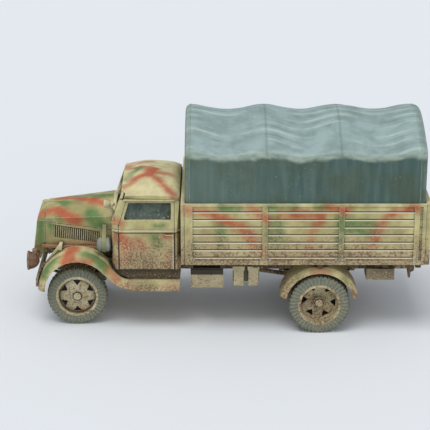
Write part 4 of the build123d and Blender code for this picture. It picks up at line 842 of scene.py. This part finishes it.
def fold_height(x, share, side):
    """Height of the long folds between the bows. share runs from the shoulder to the ridge."""
    sag = between_bows(x)
    drift = terrain.noise(Vector((x * 0.05, share * 1.5, side * 5.0)))
    phase = FOLD_COUNT * share + 0.42 * sag + 0.55 * drift + 0.3 * side
    crest = max(0.0, math.sin(2 * math.pi * phase)) ** 2.5
    strength = 0.35 + 0.65 * abs(terrain.noise(Vector((x * 0.09, share * 4.0, 3.0 + side)))) * 2
    fade = math.sin(math.pi * min(1.0, share * 1.02)) ** 0.5
    ripple = terrain.noise(Vector((x * 0.3, share * 9.0, side))) * 0.05
    return (FOLD_HEIGHT * crest * strength * (0.25 + 0.75 * sag) + ripple) * fade


def tilt_profile(x, inset):
    """Points of the tilt across the truck at x, from its left foot over the ridge to its right foot."""
    sag = between_bows(x)
    wander = SHOULDER_WANDER * terrain.noise(Vector((x * 0.15, 0.0, 2.0)))
    half = tilt_high.y - inset
    foot = tilt_low.z
    shoulder = SHOULDER_HEIGHT - SHOULDER_SAG * sag - 0.4 * inset + wander * sag
    ridge = tilt_high.z - RIDGE_SAG * sag - inset
    left = []
    for row in range(SIDE_ROWS):
        share = row / SIDE_ROWS
        tuck = SIDE_PULL * sag * math.sin(math.pi * share)
        ripple = SIDE_RIPPLE * terrain.noise(Vector((x * 0.35, share * 2.0, 9.0))) * math.sin(math.pi * share)
        left.append((half - tuck - abs(ripple), foot + (shoulder - foot) * share))
    for row in range(TOP_ROWS + 1):
        share = row / TOP_ROWS
        lean = 1 - (1 - share) ** 1.15
        rise = (ridge - shoulder) * (1 - (1 - lean) ** 1.7)
        left.append((half * (1 - lean), shoulder + rise - 0.3 * sag * math.sin(math.pi * lean)))
    return left + [(-y, z) for y, z in reversed(left[:-1])]


def close_end(mesh, ring, outwards):
    """Fills one end with rows that run straight across, pulled in a little between its edges."""
    last = len(ring) - 1
    rows = []
    for index in range(last // 2):
        left, right = ring[index], ring[last - index]
        row = [left]
        for column in range(1, END_COLUMNS):
            share = column / END_COLUMNS
            point = left.co.lerp(right.co, share)
            fold = terrain.noise(Vector((point.y * 0.35 / MM, point.z * 0.12 / MM, outwards))) * END_FOLD
            free = min(1.0, 4 * share, 4 * (1 - share))
            row.append(mesh.verts.new(point + mm((fold - END_PULL) * free * outwards, 0, 0)))
        row.append(right)
        rows.append(row)
    for lower, upper in zip(rows, rows[1:]):
        for column in range(END_COLUMNS):
            mesh.faces.new((lower[column], lower[column + 1], upper[column + 1], upper[column]))
    top = ring[last // 2]
    for column in range(END_COLUMNS):
        mesh.faces.new((rows[-1][column], rows[-1][column + 1], top))


def build_tilt():
    """The canvas with both ends closed."""
    mesh = bmesh.new()
    turns = [math.pi / 2 * step / END_TURNS for step in range(END_TURNS + 1)]
    rounding = [(END_ROUND * (1 - math.sin(turn)), END_ROUND * (1 - math.cos(turn))) for turn in turns]
    start = tilt_high.x - END_ROUND
    run = start - tilt_low.x - END_ROUND
    stations = [(tilt_high.x - along, inset) for inset, along in rounding]
    stations += [(start - run * step / TILT_RINGS, 0.0) for step in range(1, TILT_RINGS)]
    stations += [(tilt_low.x + along, inset) for inset, along in reversed(rounding)]
    rings = []
    for x, inset in stations:
        ring = []
        profile = tilt_profile(x, inset)
        for index, (y, z) in enumerate(profile):
            step = min(index, len(profile) - 1 - index) - SIDE_ROWS
            side = 1 if index < len(profile) / 2 else -1
            rise = fold_height(x, step / TOP_ROWS, side) if step > 0 and inset == 0 else 0.0
            ring.append(mesh.verts.new(mm(x, y, min(z + rise, tilt_high.z))))
        rings.append(ring)
    for first, second in zip(rings, rings[1:]):
        for index in range(len(first) - 1):
            mesh.faces.new((first[index], first[index + 1], second[index + 1], second[index]))
    close_end(mesh, rings[0], 1)
    close_end(mesh, rings[-1], -1)
    return add_piece("canvas_tilt_cloth", mesh, tilt_canvas)


tilt = build_tilt()
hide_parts("canvas_tilt")

# Tyres: turned section with lugs across the tread and down both walls. A lug and the groove after it take
# the steps in LUG_STEPS, which says where the rubber is sunk.
BEAD_RADIUS = 4.22
LUG_COUNT = 44
LUG_STEPS = (0.0, 0.0, 0.0, 0.0, 1.0, 1.0)
LUG_DEPTH = 0.3
WALL_DEPTH = 0.2
# Half section of the tyre, in shares: way out from bead to tread, half width, and depth of the lugs
TYRE_SECTION = (
    (0.0, 0.70, 0.0),
    (0.05, 0.86, 0.0),
    (0.16, 0.95, 0.0),
    (0.22, 0.97, 0.7),
    (0.5, 1.0, 1.0),
    (0.75, 0.97, 1.0),
    (0.9, 0.86, 1.0),
    (0.97, 0.74, 1.0),
    (1.0, 0.58, 1.0),
    (1.0, 0.2, 1.0),
)


def build_tyre(node, body):
    """A lugged tyre in the place of its CAD ring."""
    low, high = corners(node)
    middle = (low + high) / 2
    half_width = (high.y - low.y) / 2
    outer = (high.z - low.z) / 2
    section = [(share, -width, lug) for share, width, lug in TYRE_SECTION]
    section += [(share, width, lug) for share, width, lug in reversed(TYRE_SECTION)]
    mesh = bmesh.new()
    rings = []
    for step, (cosine, sine) in enumerate(circle(LUG_COUNT * len(LUG_STEPS))):
        sunk = LUG_STEPS[step % len(LUG_STEPS)]
        ring = []
        for share, width, lug in section:
            radius = BEAD_RADIUS + (outer - BEAD_RADIUS) * share - sunk * lug * LUG_DEPTH * share ** 3
            side = half_width * width - math.copysign(sunk * lug * WALL_DEPTH * (1 - share ** 4), width)
            ring.append(Vector((middle.x + radius * cosine, middle.y + side, middle.z + radius * sine)))
        rings.append(ring)
    add_skin(mesh, rings, closed=True)
    piece = add_piece(node + "_lugged", mesh, tyre_rubber, body, smooth=False)
    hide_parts(node)


# Tyres: CAD node and the body it turns with
TYRES = (
    ("tyre_front_left", "wheel_assembly_front_left"),
    ("tyre_front_right", "wheel_assembly_front_right"),
    ("tyre_rear_outer_left", "wheel_assembly_rear_left"),
    ("tyre_rear_inner_left", "wheel_assembly_rear_left"),
    ("tyre_rear_outer_right", "wheel_assembly_rear_right"),
    ("tyre_rear_inner_right", "wheel_assembly_rear_right"),
)
for node, body in TYRES:
    build_tyre(node, body)


# Small fittings: turned bits and bent bars, gathered in one mesh for each place
def turned(mesh, centre, direction, profile, sides=12):
    """Adds a turned solid. profile has pairs of radius and distance along direction, foot to tip."""
    direction = direction.normalized()
    across = direction.orthogonal().normalized()
    other = direction.cross(across)
    spokes = [across * cosine + other * sine for cosine, sine in circle(sides)]
    add_skin(mesh, [[centre + direction * along + spoke * radius for spoke in spokes]
                    for radius, along in profile])


def bent_bar(mesh, points, width, depth, upright, sides=8):
    """Adds a bar swept through points. width lies along upright and depth across it."""
    rings = []
    for index, point in enumerate(points):
        before = points[max(index - 1, 0)]
        after = points[min(index + 1, len(points) - 1)]
        along = (after - before).normalized()
        across = along.cross(upright).normalized()
        height = across.cross(along)
        rings.append([point + height * cosine * width / 2 + across * sine * depth / 2
                      for cosine, sine in circle(sides, 0.5)])
    add_skin(mesh, rings)


def washer(mesh, centre, out, inner, outer, thickness, sides=40):
    """Adds a flat ring with a domed face."""
    section = ((inner, 0.0), (inner, thickness), ((inner + outer) / 2, thickness * 1.2),
               (outer, thickness), (outer, 0.0))
    add_skin(mesh, [[centre + Vector((radius * cosine, 0, radius * sine)) + out * rise
                     for cosine, sine in circle(sides)] for radius, rise in section], closed=True)


UPWARDS = Vector((0, 0, 1))
FORWARDS = Vector((1, 0, 0))
# Profiles of turned fittings: radius and distance from the foot
BOLT = ((0.16, -0.05), (0.16, 0.08), (0.11, 0.14))
KNOB = ((0.3, -0.1), (0.3, 0.12), (0.24, 0.22), (0.1, 0.27))
NUT = ((0.21, -0.12), (0.21, 0.12), (0.1, 0.2))
ROSE = ((0.3, 0), (0.3, 0.12), (0.2, 0.18))
HINGE = ((0.14, -0.1), (0.24, -0.05), (0.24, 0.85), (0.14, 0.9))
HEADLIGHT_LENS = ((1.78, 0), (1.78, 0.1), (1.1, 0.12), (0.3, 0.14))
SIDE_LAMP_LENS = ((0.6, 0), (0.6, 0.04), (0.3, 0.07))

# Door handle: height, half width of the door there, and its line along X and outwards from the door
HANDLE_HEIGHT = 20.4
DOOR_FACE = 11.8
HANDLE_LINE = ((12.5, -0.1), (12.5, 0.3), (12.3, 0.42), (11.6, 0.46), (10.95, 0.42), (10.85, 0.3))
HANDLE_WIDTH = 0.26
HANDLE_DEPTH = 0.2
# Hinges of the doors
HINGE_X = 22.05
HINGE_Y = 11.75
HINGE_FEET = (14.3, 18.9)

# Latches and post bolts of the load bed: places along X, half width and heights
LATCH_PLACES = (6.6, -6.95, -8.77, -22.12, -23.84, -38.2)
LATCH_FACE = 15.68
LATCH_HEIGHT = 16.5
POST_PLACES = (7.75, -7.85, -22.95, -39.3)
POST_FACE = 15.86
POST_BOLT_HEIGHTS = (17.6, 20.4, 23.2, 26.0)

HEADLIGHT_PLACES = ((40.95, 9.2, 13.8), (40.95, -9.2, 13.8))
SIDE_LAMP_PLACE = (24.95, 9.6, 26.3)

# Boxes: half width of their outer faces, with places along X and up
TOOL_BOX_FACE = 13.05
TOOL_BOX_BOLTS = ((2.2, 11.7), (5.8, 11.7))
TOOL_BOX_KNOB = (4.0, 10.7)
REAR_BOX_FACE = 14.25
REAR_BOX_BOLTS = ((-32.6, 13.2), (-30.2, 13.2))

# Sets of wheels: place of the middle along X and out to the side, then how far out from there the nuts,
# the ring round the cap and the black disc of painted shade behind the hand holes lie, and the disc's two
# radii
WheelSet = namedtuple("WheelSet", "name x side nuts ring shield inner outer")
WHEEL_SETS = (
    WheelSet("front", 30.95, 9.5, 0.68, 0.88, 0.02, 2.1, 3.7),
    WheelSet("rear", -19.05, 12.5, 0.25, 1.48, -0.74, 1.2, 3.6),
)
# Nuts, the ring round the cap and the disc of painted shade, which are the same on each wheel
AXLE_HEIGHT = 6.25
NUT_COUNT = 8
NUT_CIRCLE = 1.68
RING_INNER = 0.78
RING_OUTER = 0.98
RING_THICKNESS = 0.05
SHADE_DISC_THICKNESS = 0.06

# Hems sewn over both ends of the tilt
HEM_PLACES = {"front": tilt_high.x - 0.95, "rear": tilt_low.x + 1.25}
HEM_WIDTH = 0.34
HEM_THICKNESS = 0.22


def add_fitting(name, mesh, paint, body="truck"):
    """A piece made of small fittings, with flat faces."""
    add_piece(name, mesh, paint, body, smooth=False)


def door_fittings(side, sign):
    """Handle and hinge barrels of one door."""
    mesh = bmesh.new()
    points = [Vector((x, sign * (DOOR_FACE + out), HANDLE_HEIGHT)) for x, out in HANDLE_LINE]
    bent_bar(mesh, points, HANDLE_WIDTH, HANDLE_DEPTH, UPWARDS)
    foot = Vector((HANDLE_LINE[0][0], sign * (DOOR_FACE - 0.05), HANDLE_HEIGHT))
    turned(mesh, foot, Vector((0, sign, 0)), ROSE)
    for hinge_foot in HINGE_FEET:
        turned(mesh, Vector((HINGE_X, sign * HINGE_Y, hinge_foot)), UPWARDS, HINGE)
    add_fitting("door_fittings_" + side, mesh, paints["cab"])


def bed_fittings(side, sign):
    """Latch knobs along the foot of one bed side, and bolts on its posts."""
    out = Vector((0, sign, 0))
    mesh = bmesh.new()
    for x in LATCH_PLACES:
        turned(mesh, Vector((x, sign * LATCH_FACE, LATCH_HEIGHT)), out, KNOB)
    add_fitting("bed_latches_" + side, mesh, paints["grey_metal"])
    mesh = bmesh.new()
    for x in POST_PLACES:
        for z in POST_BOLT_HEIGHTS:
            turned(mesh, Vector((x, sign * POST_FACE, z)), out, BOLT, 6)
    add_fitting("bed_bolts_" + side, mesh, paints["bed"])


def wheel_fittings(wheels, side, sign):
    """Nuts round the hub, the dark ring round its cap, and a black disc behind the hand holes that paints
    their shade.
    """
    out = Vector((0, sign, 0))
    centre = Vector((wheels.x, sign * wheels.side, AXLE_HEIGHT))
    place_name = wheels.name + "_" + side
    body = "wheel_assembly_" + place_name
    mesh = bmesh.new()
    for cosine, sine in circle(NUT_COUNT, 0.5):
        place = centre + Vector((cosine, 0, sine)) * NUT_CIRCLE + out * wheels.nuts
        turned(mesh, place, out, NUT, 6)
    add_fitting("wheel_" + place_name + "_nuts", mesh, paints["wheel_paint"], body)
    mesh = bmesh.new()
    washer(mesh, centre + out * wheels.ring, out, RING_INNER, RING_OUTER, RING_THICKNESS)
    washer(mesh, centre + out * wheels.shield, out, wheels.inner, wheels.outer, SHADE_DISC_THICKNESS)
    add_fitting("wheel_" + place_name + "_shield", mesh, paints["ring_and_hole_shade_black"], body)


def lamp_lenses():
    """Domed lenses of the headlights and the side lamp."""
    mesh = bmesh.new()
    for place in HEADLIGHT_PLACES:
        turned(mesh, Vector(place), FORWARDS, HEADLIGHT_LENS, 32)
    turned(mesh, Vector(SIDE_LAMP_PLACE), FORWARDS, SIDE_LAMP_LENS, 20)
    add_fitting("lamp_lenses", mesh, lens_glass)


def box_fittings():
    """Latches on the tool boxes, and bolts on the rear box, which is only on the left."""
    mesh = bmesh.new()
    for sign in (1, -1):
        out = Vector((0, sign, 0))
        for x, z in TOOL_BOX_BOLTS:
            turned(mesh, Vector((x, sign * TOOL_BOX_FACE, z)), out, BOLT)
        turned(mesh, Vector((TOOL_BOX_KNOB[0], sign * TOOL_BOX_FACE, TOOL_BOX_KNOB[1])), out, KNOB)
    for x, z in REAR_BOX_BOLTS:
        turned(mesh, Vector((x, REAR_BOX_FACE, z)), Vector((0, 1, 0)), BOLT)
    add_fitting("box_latches", mesh, paints["box_paint"])


def tilt_hems():
    """Flat bands sewn over the tilt near both ends."""
    for name, x in HEM_PLACES.items():
        mesh = bmesh.new()
        points = [Vector((x, y, z)) for y, z in tilt_profile(x, 0.0)]
        bent_bar(mesh, points, HEM_WIDTH, HEM_THICKNESS, FORWARDS)
        add_piece("tilt_hem_" + name, mesh, tilt_canvas)


for side, sign in (("left", 1), ("right", -1)):
    door_fittings(side, sign)
    bed_fittings(side, sign)
    for wheels in WHEEL_SETS:
        wheel_fittings(wheels, side, sign)
lamp_lenses()
box_fittings()
tilt_hems()

# Floor, world and lamps
FLOOR_SIDE = 8.0
floor_mesh = bmesh.new()
bmesh.ops.create_grid(floor_mesh, x_segments=1, y_segments=1, size=FLOOR_SIDE / 2)
floor_data = bpy.data.meshes.new("floor")
floor_mesh.to_mesh(floor_data)
floor_mesh.free()
floor = add_object("floor", floor_data)
floor_material, floor_tree, _ = new_material("floor")
show(floor_tree, add_node(floor_tree, "ShaderNodeBsdfDiffuse", {"Color": FLOOR_COLOUR}))
floor_data.materials.append(floor_material)

studio = bpy.data.worlds.new("studio")
studio.use_nodes = True
sky = studio.node_tree
sky.nodes.clear()
# The sky that lights the truck is dimmer than the one that is seen behind it
lit = add_node(sky, "ShaderNodeBackground", {"Color": SKY_LIT, "Strength": 0.62})
seen = add_node(sky, "ShaderNodeBackground", {"Color": SKY_SEEN, "Strength": 1.0})
ray = add_node(sky, "ShaderNodeLightPath").outputs
seen_share = highest(sky, ray["Is Camera Ray"], ray["Is Glossy Ray"], ray["Is Transmission Ray"])
show(sky, add_node(sky, "ShaderNodeMixShader", {0: seen_share, 1: lit.outputs[0], 2: seen.outputs[0]}),
     "ShaderNodeOutputWorld")
bpy.context.scene.world = studio


def add_sun(name, strength, softness, elevation, azimuth):
    """A soft lamp, with angles in degrees. Azimuth 0 shines from the truck's front, 90 from its left side."""
    lamp = bpy.data.lights.new(name, "SUN")
    lamp.energy = strength
    lamp.angle = math.radians(softness)
    tilted, turned_by = math.radians(elevation), math.radians(azimuth)
    away = Vector((math.cos(tilted) * math.cos(turned_by), math.cos(tilted) * math.sin(turned_by),
                   math.sin(tilted)))
    add_object(name, lamp).rotation_euler = away.to_track_quat("Z", "Y").to_euler()


add_sun("key", strength=1.5, softness=35, elevation=68, azimuth=60)
add_sun("fill", strength=0.5, softness=60, elevation=30, azimuth=110)

bpy.context.scene.view_settings.view_transform = "Standard"
